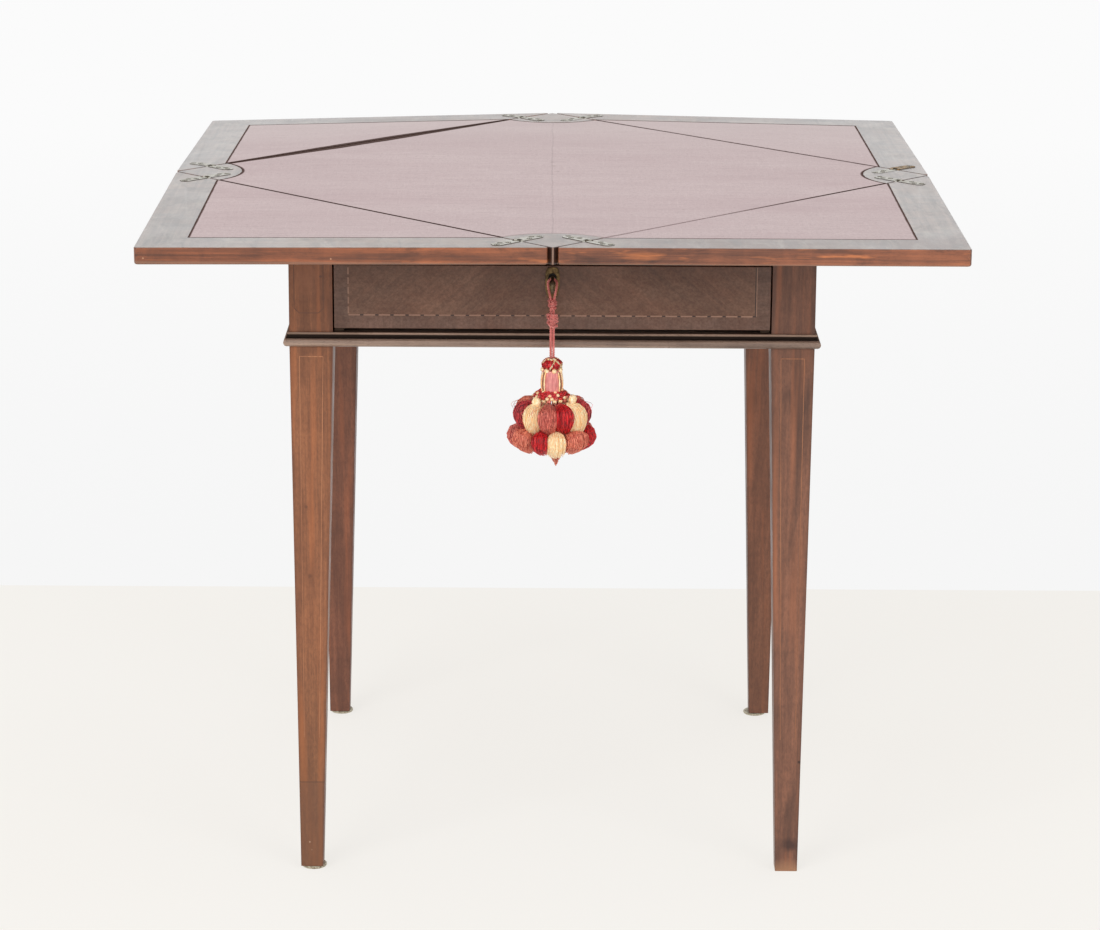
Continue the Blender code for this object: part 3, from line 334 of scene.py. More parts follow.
# Knots, dents and chips of the front legs: place, radius, stain and strength.
leg_marks = {
    "front_left": (
        ((-0.254, -0.2715, 0.652), 0.026, (166, 106, 76), 0.35),
        ((-0.2565, -0.2702, 0.406), 0.0026, (74, 45, 32), 0.55),
        ((-0.2535, -0.2697, 0.33), 0.0032, (82, 50, 35), 0.5),
        ((-0.2575, -0.267, 0.031), 0.0014, (206, 178, 150), 0.6),
        ((-0.2555, -0.267, 0.022), 0.0011, (190, 158, 128), 0.6),
    ),
    "front_right": (
        ((0.259, -0.267, 0.03), 0.011, (62, 38, 32), 0.85),
        ((0.2666, -0.268, 0.125), 0.0024, (40, 25, 20), 0.9),
    ),
}
for leg, (light, dark, seed, worn_foot, shaded_top, smoked) in leg_tones.items():
    leg_polish = new_finish(f"polished_leg_{leg}")
    across, _, height = axes()
    colour, relief, tone = mahogany_grain(light, dark, ALONG_Z, seed, contrast=1.1)
    mottle = cloud((0.006, 0.0022, 0.0022), 3.0, ALONG_Z, (seed, 0.0, 0.0), 0.7)
    colour = colour.stained(mottle.between(0.42, 0.62, 0.34), shade(dark, 0.9))
    smoky = cloud((0.14, 0.026, 0.026), 3.0, ALONG_Z, (seed * 2.3, 0.0, 0.4), 0.6, 0.5)
    colour = colour.stained(smoky.between(0.5, 0.66, smoked), shade(dark, 0.86))
    glowing = cloud((0.3, 0.012, 0.012), 2.0, ALONG_Z, (0.0, seed, 0.2)).between(0.52, 0.68, 0.5)
    colour = colour.stained(glowing, (light[0] * 1.1, light[1], light[2] * 0.86))
    down = height.between(frame_foot, 0.0)
    outer_edge = down * -outer_taper + half_frame
    leg_width = down * (foot - post) + post
    from_middle = abs((abs(across) - outer_edge) / leg_width + 0.5)
    smoky_rim = (smoky * 0.12 + from_middle).between(0.47, 0.55, 0.5)
    colour = colour.stained(smoky_rim, shade(dark, 0.95))
    colour = colour.dulled(height.between(0.27, 0.07, worn_foot), (200, 207, 210))
    # Painted shade: each leg darkens from 0.3 m up to the frame, in the shade under the frame and top.
    painted_shade_below_frame = height.between(0.3, 0.5, shaded_top) * (height < 0.58)
    # The stile is darker just above the frame's foot, fading out by 0.64 m.
    darker_stile_foot = height.between(0.64, 0.598, 0.25) * (height > 0.58)
    colour = colour.dulled(painted_shade_below_frame, (190, 190, 190)).dulled(darker_stile_foot, (188, 182, 178))
    if leg == "front_left":
        splice_height = 0.1
        splice = height.between(splice_height + 0.0005, splice_height)
        joint = splice * height.between(splice_height - 0.0015, splice_height - 0.0007, 0.35)
        colour = colour.stained(splice * 0.4, (108, 72, 54)).stained(joint, (50, 30, 24))
    for mark in leg_marks.get(leg, ()):
        colour = spotted(colour, *mark)
    if leg == "front_right":
        bruised = (smoky * 0.02 + height).between(0.026, 0.012, 0.55)
        colour = colour.stained(bruised, (176, 132, 98))
    polish(colour, relief, tone, 0.42, 0.00005)
    finish_node(f"leg_{leg}", leg_polish)


def leg_face(share, height, side):
    """A point on a front leg's front face: share 0 is its outer edge and 1 its inner edge."""
    down = 1 - height / frame_foot
    outer, width = half_frame - outer_taper * down, post - (post - foot) * down
    return Vector((side * (outer - width * share), -outer, height))


def lay_string(shape, start, end, width, proud=0.00005, facing=(0.0, -1.0, 0.0)):
    """Add a thin flat strip between two points, standing a hair above the wood."""
    along = end - start
    out = Vector(facing).normalized()
    across = out.cross(along).normalized()
    turn = Matrix((along.normalized(), across, out)).transposed().to_4x4()
    size = Matrix.Diagonal((along.length, width, 2 * proud, 1.0))
    bmesh.ops.create_cube(shape, size=1.0, matrix=Matrix.Translation((start + end) / 2) @ turn @ size)


boxwood = (192, 130, 90), (128, 80, 54)
string_wood = plain_wood("boxwood_string", *boxwood, ALONG_Z, 9.0, 0.42, 0.00003, contrast=2.4)
string_top, string_end, inset = 0.568, 0.15, 0.0102
down_to_string = 1 - string_top / frame_foot
top_inset = inset / (post - (post - foot) * down_to_string)
string_shape = bmesh.new()
for side in (-1, 1):
    left, right = leg_face(top_inset, string_top, side), leg_face(1 - top_inset, string_top, side)
    lay_string(string_shape, left, right, 0.0009)
    for share in (inset / post, 1 - inset / post):
        upper, lower = leg_face(share, string_top, side), leg_face(share, string_end, side)
        lay_string(string_shape, upper, lower, 0.0006, facing=(0.0, -1.0, outer_taper / frame_foot))
piece("leg_string", string_shape, string_wood, body="frame", slot="mahogany")

shadow_string = plain_wood("darkened_string", (120, 78, 58), (96, 60, 44), ALONG_Z, 9.5, 0.45, 0.00003)
left, right, low, high = -half_frame + 0.0055, -half_frame + post - 0.0095, 0.6141, 0.688
cut_corner, nail_across, nail_height = 0.005, -0.2385, 0.6525
outline = [
    (left, high), (left, low + cut_corner), (left + cut_corner, low),
    (right - cut_corner, low), (right, low + cut_corner), (right, high),
]
outline = [Vector((across, -half_frame, height)) for across, height in outline]
string_shape = bmesh.new()
for start, end in zip(outline, outline[1:]):
    lay_string(string_shape, start, end, 0.0008)
nail_place = Matrix.Translation((nail_across, -half_frame - 0.00006, nail_height))
upright = Matrix.Rotation(radians(90), 4, "X")
bmesh.ops.create_circle(string_shape, cap_ends=True, segments=10, radius=0.0013, matrix=nail_place @ upright)
piece("stile_string", string_shape, shadow_string, body="frame", slot="mahogany")


# Glides: pressed steel buttons nailed under three of the feet. They are scuffed and a little
# rusty, and the fourth one is gone, so that foot stands on the wood.
worn_steel = new_finish("worn_steel")
rust = cloud(0.004, 4.0, rough=0.7)
scuff = cloud((0.0008, 0.0008, 0.003), 3.0)
steel = blended(scuff.between(0.3, 0.7), (150, 142, 122), (212, 204, 184))
fill(shader, {
    "Base Color": steel.stained(rust.between(0.5, 0.66, 0.8), (112, 84, 58)),
    "Metallic": 0.85,
    "Roughness": rust.between(0.35, 0.65, 0.62, 0.34),
    "Normal": bumpy(rust, 0.4, 0.0001),
})
for glide in ("front_left", "back_left", "back_right"):
    finish_node(f"glide_{glide}", worn_steel)


# Frame: side and back rails tenoned into the legs, with a drawer rail below the drawer and a
# top rail above it. All are mahogany, polished outside; the side rails carry the drawer's runners.
rails = {
    "side_rail_left": ("rail_left", (138, 92, 70), (86, 55, 42), ALONG_Y, 11.0),
    "side_rail_right": ("rail_right", (134, 90, 70), (84, 54, 42), ALONG_Y, 12.0),
    "back_rail": ("rail_back", (136, 92, 70), (84, 54, 40), ALONG_X, 13.0),
    "drawer_rail": ("rail_drawer", (96, 70, 58), (60, 41, 33), ALONG_X, 14.0),
    "top_rail": ("rail_top", (120, 82, 64), (78, 50, 38), ALONG_X, 15.0),
}
for rail, look in rails.items():
    eased(rail, "wood", "frame", plain_wood(*look), "mahogany")


# Bead moulding: four mitred strips of mahogany planted round the foot of the frame, each with a
# round bead below a quirk and a small fillet; the quirk is painted near black as shade. It is
# darker than the rails from old polish.
bead_polish = new_finish("bead_polish")
bead_tones = (174, 147, 130), (103, 84, 74)
along_front, relief, tone = mahogany_grain(*bead_tones, ALONG_X, 16.0, 1.0, 0.5, 1.8)
along_side = mahogany_grain(*bead_tones, ALONG_Y, 17.0, contrast=1.4)[0]
across, away, height = axes()
colour = blended(abs(away) > abs(across), along_side, along_front)
quirk_height, fillet_foot = 0.5899, 0.5878
# Painted shade: the quirk between bead and fillet is coloured near black.
painted_quirk_shade = abs(height - quirk_height).between(0.0025, 0.0017, 0.95)
fillet = height.between(fillet_foot, fillet_foot + 0.0006)
gloss = polish(colour.stained(painted_quirk_shade, (26, 17, 14)), relief, tone, 0.3, 0.00005)
fill(shader, {"Roughness": gloss.larger(fillet * 0.75), "Specular IOR Level": fillet * -0.42 + 0.5})
piece(
    "bead_moulding_strips", merged("bead_moulding"), bead_polish,
    body="frame", slot="mahogany", smooth=40, node="bead_moulding",
)


# Pivot bearer: a plain sawn cross rail between the front and back, left bare, that carries the
# steel pivot bolt on which the top turns.
bare_wood = new_finish("bare_bearer")
colour, relief, tone = mahogany_grain((172, 124, 92), (122, 82, 58), ALONG_Y, 18.0)
saw_marks = cloud((0.4, 0.0022, 0.4), 1.0).between(0.45, 0.62, 0.25)
polish(colour.stained(saw_marks, (90, 60, 44)), relief, tone, 0.72, 0.00015)
eased("pivot_bearer", "wood", "frame", bare_wood, "mahogany_inside", 0.0008)
finish_node("pivot_bolt", worn_steel)


# Drawer: an oak-lined box behind a veneered front. The front has two leaves of mahogany laid as
# an arrow, a chequer string round them and a crossbanded border outside it.
drawer_face = new_finish("drawer_front_veneer")
string_low, string_high, string_reach = 0.6124, 0.6637, 0.2102
field_tones, slant = ((158, 115, 92), (93, 65, 50)), radians(42)
leaf_left, relief, tone = mahogany_grain(*field_tones, (0.0, -slant, 0.0), 21.0, 0.72, 0.25, 0.72)
leaf_right = mahogany_grain(*field_tones, (0.0, slant, 0.0), 22.0, 0.72, 0.25, 0.72)[0]
band_across = mahogany_grain((146, 110, 92), (87, 63, 53), ALONG_X, 23.0, 0.8, 0.25, 0.9)[0]
band_up = mahogany_grain((148, 111, 94), (92, 68, 57), ALONG_Z, 24.0, 0.8, 0.25, 0.7)[0]
across, away, height = axes()
colour = blended(across > 0.0, leaf_left, leaf_right)
colour = blended(height < string_low - 0.0002, colour, band_up)
colour = blended(abs(across) > string_reach + 0.0004, colour, band_across)
patch = cloud((0.05, 0.02, 0.02), 4.0, rough=0.65).between(0.42, 0.62, 0.6)
speck = cloud((0.0026, 0.0022, 0.0022), 4.0, rough=0.75).between(0.4, 0.6, 0.8)
colour = colour.dulled(patch, (228, 208, 196)).dulled(speck, (206, 196, 190))
# Painted shade: the front grows darker towards its top, under the overhang of the top.
colour = colour.dulled(height.between(0.64, 0.664, 0.55), (206, 190, 180))
behind = away > -half_frame + 0.002
colour = blended(behind, colour, blended(0.5, band_across, (150, 108, 80)))
polish(colour, relief, tone, 0.38, 0.00006)
drawer_board = eased("drawer_front", "board", "drawer", drawer_face, "mahogany", 0.0008)
near_top_edge, lift_to_frame = 0.66, 0.0016
for vert in drawer_board.data.vertices:
    if vert.co.z > near_top_edge:
        vert.co.z += lift_to_frame

dash_tones = {
    "pale": ((172, 132, 110), (138, 102, 84), ALONG_X, 25.0),
    "dark": ((66, 48, 41), (44, 32, 28), ALONG_X, 26.0),
    "faded": ((162, 124, 102), (130, 96, 80), ALONG_Z, 27.0),
}
dashes = {label: bmesh.new() for label in dash_tones}
low_left, low_right = [Vector((side * string_reach, -half_frame, string_low)) for side in (-1, 1)]
rise, run = Vector((0.0, 0.0, string_high - string_low)), low_right - low_left
faded_count, period, pale_length = 5, 0.0156, 0.012
for number in range(faded_count):
    start, end = [low_left + rise * (number + share) / faded_count for share in (0.15, 0.85)]
    lay_string(dashes["faded"], start, end, 0.0014, 0.00006)
for label, shift in (("dark", -0.0008), ("faded", 0.0004)):
    start = low_right + Vector((shift, 0.0, 0.0))
    lay_string(dashes[label], start, start + rise, 0.0009, 0.00006)
dash_count = round(run.length / period)
for number in range(dash_count):
    shares = (0.0, pale_length / period, 1.0)
    start, turn_over, end = [low_left + run * (number + share) / dash_count for share in shares]
    lay_string(dashes["pale"], start, turn_over, 0.0014, 0.00006)
    lay_string(dashes["dark"], turn_over, end, 0.0012)
for label, look in dash_tones.items():
    dash_wood = plain_wood(f"{label}_dash", *look, 0.42, 0.00003)
    piece(f"drawer_string_{label}", dashes[label], dash_wood, body="drawer", slot="mahogany")


def oak(name, turn, seed):
    """Plain oak, dusty inside and darker at its foot."""
    made = new_finish(name)
    colour, relief, tone = mahogany_grain((198, 158, 112), (148, 108, 70), turn, seed, 1.2, 0.8)
    flecks = cloud((0.012, 0.0016, 0.004), 1.0, turn, (seed, 0.0, 0.0)).between(0.6, 0.68, 0.5)
    dust = cloud(0.09, 4.0, rough=0.65).between(0.5, 0.72, 0.4)
    darker_foot = axes()[2].between(0.604, 0.599, 0.9)
    colour = colour.stained(flecks, (216, 184, 142)).stained(dust, (118, 88, 62))
    polish(colour.stained(darker_foot, (52, 36, 28)), relief, tone, 0.68, 0.00014)
    return made


for board, turn, seed in (
    ("drawer_side_left", ALONG_Y, 31.0), ("drawer_side_right", ALONG_Y, 32.0),
    ("drawer_back", ALONG_X, 33.0), ("drawer_bottom", ALONG_X, 34.0),
):
    eased(board, "board", "drawer", oak(f"{board}_oak", turn, seed), "drawer_wood")


# Lock, escutcheon and key: a brass lock screwed to the back of the front, a tall oval plate of
# thin brass with a keyhole, and a steel key with an oval ring for its bow, dark with handling.
def old_brass(name, bright, dull, seed, metal=0.9, rough=0.42, pitted=0.5):
    """Metal tarnished in patches, with small dark pits where it was rubbed."""
    made = new_finish(name)
    tarnish = cloud(0.005, 4.0, shift=(seed, 0.0, 0.0), rough=0.68)
    rubbed = cloud((0.0011, 0.0011, 0.006), 3.0, shift=(seed, 0.0, 0.0))
    colour = blended(tarnish.between(0.38, 0.62), bright, dull)
    fill(shader, {
        "Base Color": colour.stained(rubbed.between(0.55, 0.75, pitted), shade(dull, 0.6)),
        "Metallic": metal,
        "Roughness": tarnish.between(0.3, 0.7, rough + 0.2, rough - 0.08),
        "Normal": bumpy(rubbed, 0.35, 0.00008),
    })
    return made


def dirt_and_shade(name, dark, light, rough, size, detail=2.0, low=0.0, high=1.0):
    """A dull finish between two dark tones, for soiling and for painted shade."""
    made = new_finish(name)
    share = cloud(size, detail).between(low, high)
    fill(shader, {"Base Color": blended(share, dark, light), "Roughness": rough})
    return made


def spun(shape, outline, centre, direction, steps, closed=False):
    """Spin an outline a full turn, and close its seam and its poles."""
    points = [shape.verts.new(point) for point in outline]
    edges = [shape.edges.new(pair) for pair in zip(points, points[1:] + points[:int(closed)])]
    bmesh.ops.spin(
        shape, geom=points + edges, cent=centre, axis=direction, angle=2 * pi,
        steps=steps, use_merge=True, use_duplicate=False,
    )
    bmesh.ops.remove_doubles(shape, verts=shape.verts, dist=0.00001)


key_height = 0.6512
lock_brass = old_brass("lock_brass", (196, 164, 96), (132, 104, 62), 41.0)
plate_brass = old_brass("escutcheon_brass", (146, 120, 78), (84, 66, 42), 42.0, 0.7)
eased("drawer_lock", "case", "drawer", lock_brass, "hinge_brass", 0.0006)
plate = eased("escutcheon", "plate", "drawer", plate_brass, "hinge_brass", 0.0004)
plate_low, plate_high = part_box("escutcheon")
plate_middle, plate_reach = (plate_low.z + plate_high.z) / 2, (plate_high.z - plate_low.z) / 2
for vert in plate.data.vertices:
    rise = (vert.co.z - plate_middle) / plate_reach
    if rise > 0:
        oval, full = sqrt(max(0.0, 1 - rise ** 2)), max(0.0, 1 - rise ** 4) ** 0.25
        vert.co.x *= full / oval if oval > 0.05 else 1.0
        vert.co.z += 0.0014 * rise

# The keyhole is not cut: two near-black discs laid on the plate are painted shade where the hole is.
keyhole_painted_shade = dirt_and_shade("keyhole_shadow", (16, 12, 9), (34, 26, 20), 0.9, 0.001)
hole_shape = bmesh.new()
for height, radius, tall in ((key_height + 0.0012, 0.0046, 1.15), (key_height - 0.005, 0.0023, 2.2)):
    place = Matrix.Translation((0, plate_low.y, height)) @ upright @ Matrix.Diagonal((1.0, tall, 1.0, 1.0))
    bmesh.ops.create_cone(
        hole_shape, cap_ends=True, cap_tris=False, segments=20,
        radius1=radius, radius2=radius * 0.94, depth=0.00024, matrix=place,
    )
piece("keyhole", hole_shape, keyhole_painted_shade, body="drawer", slot="hinge_brass")

dark_steel = old_brass("handled_steel", (128, 112, 88), (62, 50, 38), 43.0, 0.9, 0.36)
key_shape = bmesh.new()
shaft_profile = (
    (0.0, 0.0258), (0.0023, 0.0258), (0.0023, -0.0018), (0.0029, -0.0019), (0.0034, -0.0023),
    (0.0034, -0.0033), (0.0029, -0.0037), (0.0023, -0.0038), (0.0023, -0.019), (0.003, -0.02),
    (0.003, -0.0214), (0.002, -0.0232), (0.0, -0.0236),
)
shaft = [(radius, along - half_frame, key_height) for radius, along in shaft_profile]
spun(key_shape, shaft, (0, 0, key_height), (0, 1, 0), 24)
bow_centre, bow_radius, wire_radius = Vector((0.0, -half_frame - 0.0315, key_height)), 0.0072, 0.0017
wire_turns = [2 * pi * number / 12 for number in range(12)]
wire = [
    bow_centre + Vector((wire_radius * cos(turn), 0.0, bow_radius + wire_radius * sin(turn)))
    for turn in wire_turns
]
spun(key_shape, wire, bow_centre, (1, 0, 0), 36, closed=True)
bit_place = Matrix.Translation((0, -half_frame + 0.0223, key_height - 0.0046))
bit_size = Matrix.Diagonal((0.002, 0.005, 0.0078, 1.0))
bmesh.ops.create_cube(key_shape, size=1.0, matrix=bit_place @ bit_size)
bmesh.ops.recalc_face_normals(key_shape, faces=key_shape.faces)
piece(
    "drawer_key_steel", key_shape, dark_steel,
    body="key", slot="worn_steel", smooth=45, node="drawer_key",
)


# Tassel: a doubled silk cord looped over the key's shaft and knotted twice, a head of wound and
# braided cords over a wooden core, and two tiers of thread tufts in reds, pinks and cream.
def thread_finish(name, light, dark, seed, spot=0.0016, blend=0.15, painted_glow=0.0):
    """Fine silk; its last setting is painted light, a faint emission of the silk's own colour that brightens
    a pale thread.
    """
    made = new_finish(name)
    lock = cloud((spot, spot, 0.012), 2.0, shift=(seed, 0.0, 0.0))
    deep = cloud(0.006, 3.0, shift=(0.0, seed, 0.0), rough=0.6).between(0.45, 0.7, 0.4)
    colour = blended(lock.between(0.49 - blend, 0.49 + blend), dark, light)
    colour = colour.stained(deep, shade(dark, 0.86))
    fill(shader, {
        "Base Color": colour, "Roughness": 0.4, "Sheen Weight": 0.12, "Sheen Roughness": 0.4,
        "Emission Color": colour, "Emission Strength": painted_glow, "Normal": bumpy(lock, 0.5, 0.0002),
    })
    return made


hang = Vector((0.0, -half_frame - 0.0185, key_height))
head_drop, small_knot, big_knot = 0.0791, 0.0224, 0.039
strand, spread, loop = 0.0011, 0.0014, 0.0046
shaft_radius, loop_play = 0.0023, 0.0003
loop_centre = shaft_radius + loop_play + strand - loop


def strand_route():
    """The cord's centre line, up the left strand, over the key's shaft and down the right one."""
    foot_end, knot_level, steps = -head_drop + 0.0003, -small_knot, 9
    side = [(spread, foot_end + (knot_level - foot_end) * step / steps) for step in range(steps)]
    for step in range(steps):
        share = step / steps
        ease = share * share * (3 - 2 * share)
        side.append((spread + (loop - spread) * ease, knot_level + (loop_centre - knot_level) * share))
    turns = [pi - pi * step / (2 * steps) for step in range(2 * steps + 1)]
    arc = [(loop * cos(turn), loop_centre + loop * sin(turn)) for turn in turns]
    flat = [(-x, z) for x, z in side] + arc + side[::-1]
    return [hang + Vector((x, 0.0, z)) for x, z in flat]


def evenly(points, step):
    """The same route with points a set distance apart."""
    lengths = [0.0]
    for first, second in zip(points, points[1:]):
        lengths.append(lengths[-1] + (second - first).length)
    count = max(2, round(lengths[-1] / step))
    made, index = [], 0
    for number in range(count + 1):
        target = lengths[-1] * number / count
        while index < len(points) - 2 and lengths[index + 1] < target:
            index += 1
        share = (target - lengths[index]) / max(1e-9, lengths[index + 1] - lengths[index])
        made.append(points[index].lerp(points[index + 1], min(1.0, max(0.0, share))))
    return made


def neighbours(vert):
    return [edge.other_vert(vert) for edge in vert.link_edges]


def tube(shape, rings):
    """A closed skin drawn from ring to ring of points."""
    base = [shape.verts.new(point) for point in rings[0]]
    edges = [shape.edges.new(pair) for pair in zip(base, base[1:] + base[:1])]
    shape.faces.new(base[::-1])
    for ring in rings[1:]:
        grown = bmesh.ops.extrude_edge_only(shape, edges=edges)["geom"]
        fresh = {item for item in grown if isinstance(item, bmesh.types.BMVert)}
        drawn = [item for item in grown if isinstance(item, bmesh.types.BMEdge)]
        edges = [edge for edge in drawn if fresh.issuperset(edge.verts)]
        base = [next(other for other in neighbours(vert) if other in fresh) for vert in base]
        for vert, point in zip(base, ring):
            vert.co = point
    shape.faces.new(base)


def laid_rope(shape, route, radius, plies, pitch, sides=4):
    """Twisted plies round a route: each ply is a thin tube along its own helix."""
    ply_radius = radius / (1 + 1 / sin(pi / plies)) if plies > 2 else radius / 2
    ply_out, ply_fullness = radius - ply_radius, 1.12
    spacing = (route[1] - route[0]).length
    across = (route[1] - route[0]).cross(Vector((0.0, 1.0, 0.0)))
    skins = [[] for _ in range(plies)]
    for index, point in enumerate(route):
        ahead = (route[min(index + 1, len(route) - 1)] - route[max(index - 1, 0)]).normalized()
        across = (across - ahead * across.dot(ahead)).normalized()
        up = ahead.cross(across)
        for ply, skin in enumerate(skins):
            turn = 2 * pi * (index * spacing / pitch + ply / plies)
            centre = point + (across * cos(turn) + up * sin(turn)) * ply_out
            angles = [2 * pi * side / sides + turn for side in range(sides)]
            reach = ply_radius * ply_fullness
            skin.append([centre + (across * cos(angle) + up * sin(angle)) * reach for angle in angles])
    for skin in skins:
        tube(shape, skin)


def tassel_piece(name, shape, surface, smooth=60, node=None):
    bmesh.ops.recalc_face_normals(shape, faces=shape.faces)
    return piece(name, shape, surface, body="tassel", slot="tassel_cord", smooth=smooth, node=node)


cord_silk = thread_finish("salmon_cord_silk", (250, 160, 152), (216, 112, 106), 51.0)
route = evenly(strand_route(), 0.001)
cord_shape = bmesh.new()
laid_rope(cord_shape, route, 0.00142, 3, 0.0075, 5)
tassel_cord = tassel_piece("tassel_cord_silk", cord_shape, cord_silk, node="tassel_cord")


def knot_of_cord(name, drop, radius, height, wraps, thick):
    """Loops of cord pulled tight round the strands, each tilted its own way."""
    shape = bmesh.new()
    middle = hang - Vector((0.0, 0.0, drop))
    reach = radius - thick * 0.9
    for wrap in range(wraps):
        level = Vector((0.0, 0.0, ((wrap + 0.5) / wraps - 0.5) * (height - 2 * thick)))
        lean_back = Matrix.Rotation(0.45 * sin(2.4 * wrap + 0.7), 4, "X")
        lean_aside = Matrix.Rotation(0.4 * cos(1.9 * wrap), 4, "Y")
        ring = []
        for step in range(22):
            angle = 2 * pi * step / 21
            wide = reach * (1 + 0.12 * sin(3 * angle + wrap))
            flat = Vector((wide * cos(angle), wide * sin(angle), 0.0))
            ring.append(middle + level + lean_back @ lean_aside @ flat)
        laid_rope(shape, evenly(ring, 0.0016), thick, 2, 0.006)
    core = Matrix.Translation(middle) @ Matrix.Diagonal((radius * 0.72, radius * 0.72, height * 0.46, 1.0))
    bmesh.ops.create_uvsphere(shape, u_segments=12, v_segments=8, radius=1.0, matrix=core)
    return tassel_piece(name, shape, cord_silk)


upper_knot = knot_of_cord("upper_knot", small_knot, 0.005, 0.0105, 4, 0.0013)
lower_knot = knot_of_cord("lower_knot", big_knot, 0.0062, 0.015, 5, 0.0015)

silk_looks = {
    "crimson": ((238, 34, 40), (150, 8, 22), 52.0, 0.0012, 0.08),
    "wine": ((226, 74, 78), (124, 18, 30), 53.0, 0.0012, 0.08),
    # The cream silk also glows faintly: painted light that brightens it.
    "cream": ((255, 243, 208), (255, 204, 142), 54.0, 0.0012, 0.1, 0.07),
    "rose": ((255, 150, 130), (172, 60, 56), 55.0, 0.001, 0.1),
    "salmon": ((255, 158, 128), (190, 76, 60), 56.0, 0.001, 0.1),
    "dusty_pink": ((242, 160, 152), (210, 122, 122), 57.0),
    "gold": ((170, 112, 66), (120, 72, 42), 58.0),
}
silks = {silk: thread_finish(f"{silk}_silk", *look) for silk, look in silk_looks.items()}
head_top = hang.z - head_drop
ball_low = head_top - 0.0135
barrel_low = ball_low - 0.02
ring_low = barrel_low - 0.0105
axis = Vector((hang.x, hang.y, 0.0))


def round_the_tassel(angle, radius, height):
    """A point round the tassel's axis; 0 degrees faces the front and 90 the right."""
    return axis + Vector((radius * sin(angle), -radius * cos(angle), height))


def turned(name, profile, steps, silk, smooth=60, node=None):
    """A core turned round the tassel's axis, from a profile of radius and height."""
    shape = bmesh.new()
    outline = [axis + Vector((radius, 0.0, height)) for radius, height in profile]
    spun(shape, outline, axis, (0, 0, 1), steps)
    tassel_piece(name, shape, silks[silk], smooth, node)


def corded(kind, shapes):
    """Finish one piece of each silk that the cords or knots of a kind have."""
    for silk, shape in shapes.items():
        tassel_piece(f"{kind}_{silk}", shape, silks[silk])


def knot_bead(shape, place, radius, squash=1.0):
    size = Matrix.Diagonal((radius, radius, radius * squash, 1.0))
    bmesh.ops.create_icosphere(shape, subdivisions=1, radius=1.0, matrix=Matrix.Translation(place) @ size)


ball_middle = (head_top + ball_low) / 2
ball_turns = [radians(degrees) for degrees in range(-80, 81, 20)]
ball_side = [(0.0098 * cos(turn), ball_middle + 0.0063 * sin(turn)) for turn in ball_turns]
ball_profile = [(0.0, ball_low), *ball_side, (0.0, head_top - 0.0002)]
turned("tassel_head_core", ball_profile, 20, "crimson", node="tassel_head")
braids = {"crimson": bmesh.new(), "cream": bmesh.new()}
# The braid's cords climb in two senses: where each starts, how it weaves and which ones are pale.
for sense, start_turn, weave_turn, pale_number in ((1, 0.2, 0.0, 1), (-1, 0.0, pi, 0)):
    for number in range(8):
        path = []
        for step in range(13):
            rise = radians(-72 + 144 * step / 12)
            weave = 0.0103 + 0.0004 * cos(3.2 * step + weave_turn)
            angle = 2 * pi * number / 8 + start_turn + sense * 1.15 * step / 12
            height = ball_middle + 0.0068 * sin(rise)
            path.append(round_the_tassel(angle, weave * cos(rise), height))
        silk = "cream" if number % 2 == pale_number and number % 4 else "crimson"
        laid_rope(braids[silk], evenly(path, 0.0014), 0.00115, 2, 0.004)
for number in range(7):
    angle = 2 * pi * (number + 0.28) / 7
    knot_bead(braids["cream"], round_the_tassel(angle, 0.0093, ball_low + 0.0014), 0.0029)
    knot_bead(braids["cream"], round_the_tassel(angle + 0.4, 0.0048, head_top - 0.0014), 0.0022, 0.8)
corded("ball_braid", braids)


def barrel_radius(share):
    """The barrel swells in the middle and flares below."""
    return 0.0094 + 0.0014 * (1 - (2 * share - 1) ** 2) + 0.0014 * (1 - share)


wraps, wrap_relief = 22, 0.00018
barrel_profile = [(0.0, barrel_low - 0.001)]
for wrap in range(2 * wraps + 1):
    share = wrap / (2 * wraps)
    radius = barrel_radius(share) + wrap_relief * (wrap % 2)
    barrel_profile.append((radius, barrel_low - 0.001 + 0.022 * share))
barrel_profile.append((0.0, ball_low + 0.001))
turned("tassel_barrel", barrel_profile, 28, "dusty_pink", 80)
bars = {"cream": bmesh.new(), "gold": bmesh.new()}
bar_lift, bar_thickness = {"cream": 0.0013, "gold": 0.0006}, {"cream": 0.0011, "gold": 0.0009}
for quarter in range(4):
    middle_angle = radians(48 + 90 * quarter - 6 * (quarter % 2))
    for offset, silk in ((-0.17, "cream"), (0.0, "gold"), (0.17, "cream")):
        path = []
        for step in range(9):
            out, height = barrel_radius(step / 8) + bar_lift[silk], barrel_low + 0.0005 + 0.0195 * step / 8
            path.append(round_the_tassel(middle_angle + offset, out, height))
        laid_rope(bars[silk], evenly(path, 0.0014), bar_thickness[silk], 2, 0.0035)
corded("barrel_cords", bars)

ring_middle, ring_thick = (barrel_low + ring_low) / 2, 0.0042
ring_turns = [radians(degrees) for degrees in range(-90, 91, 20)]
ring_side = [(0.0118 + ring_thick * cos(turn), ring_middle + ring_thick * sin(turn)) for turn in ring_turns]
turned("knot_ring_core", [(0.0, ring_low + 0.001), *ring_side, (0.0, barrel_low - 0.001)], 28, "wine")
random.seed(7)
ring_knots = {silk: bmesh.new() for silk in ("crimson", "cream", "rose")}
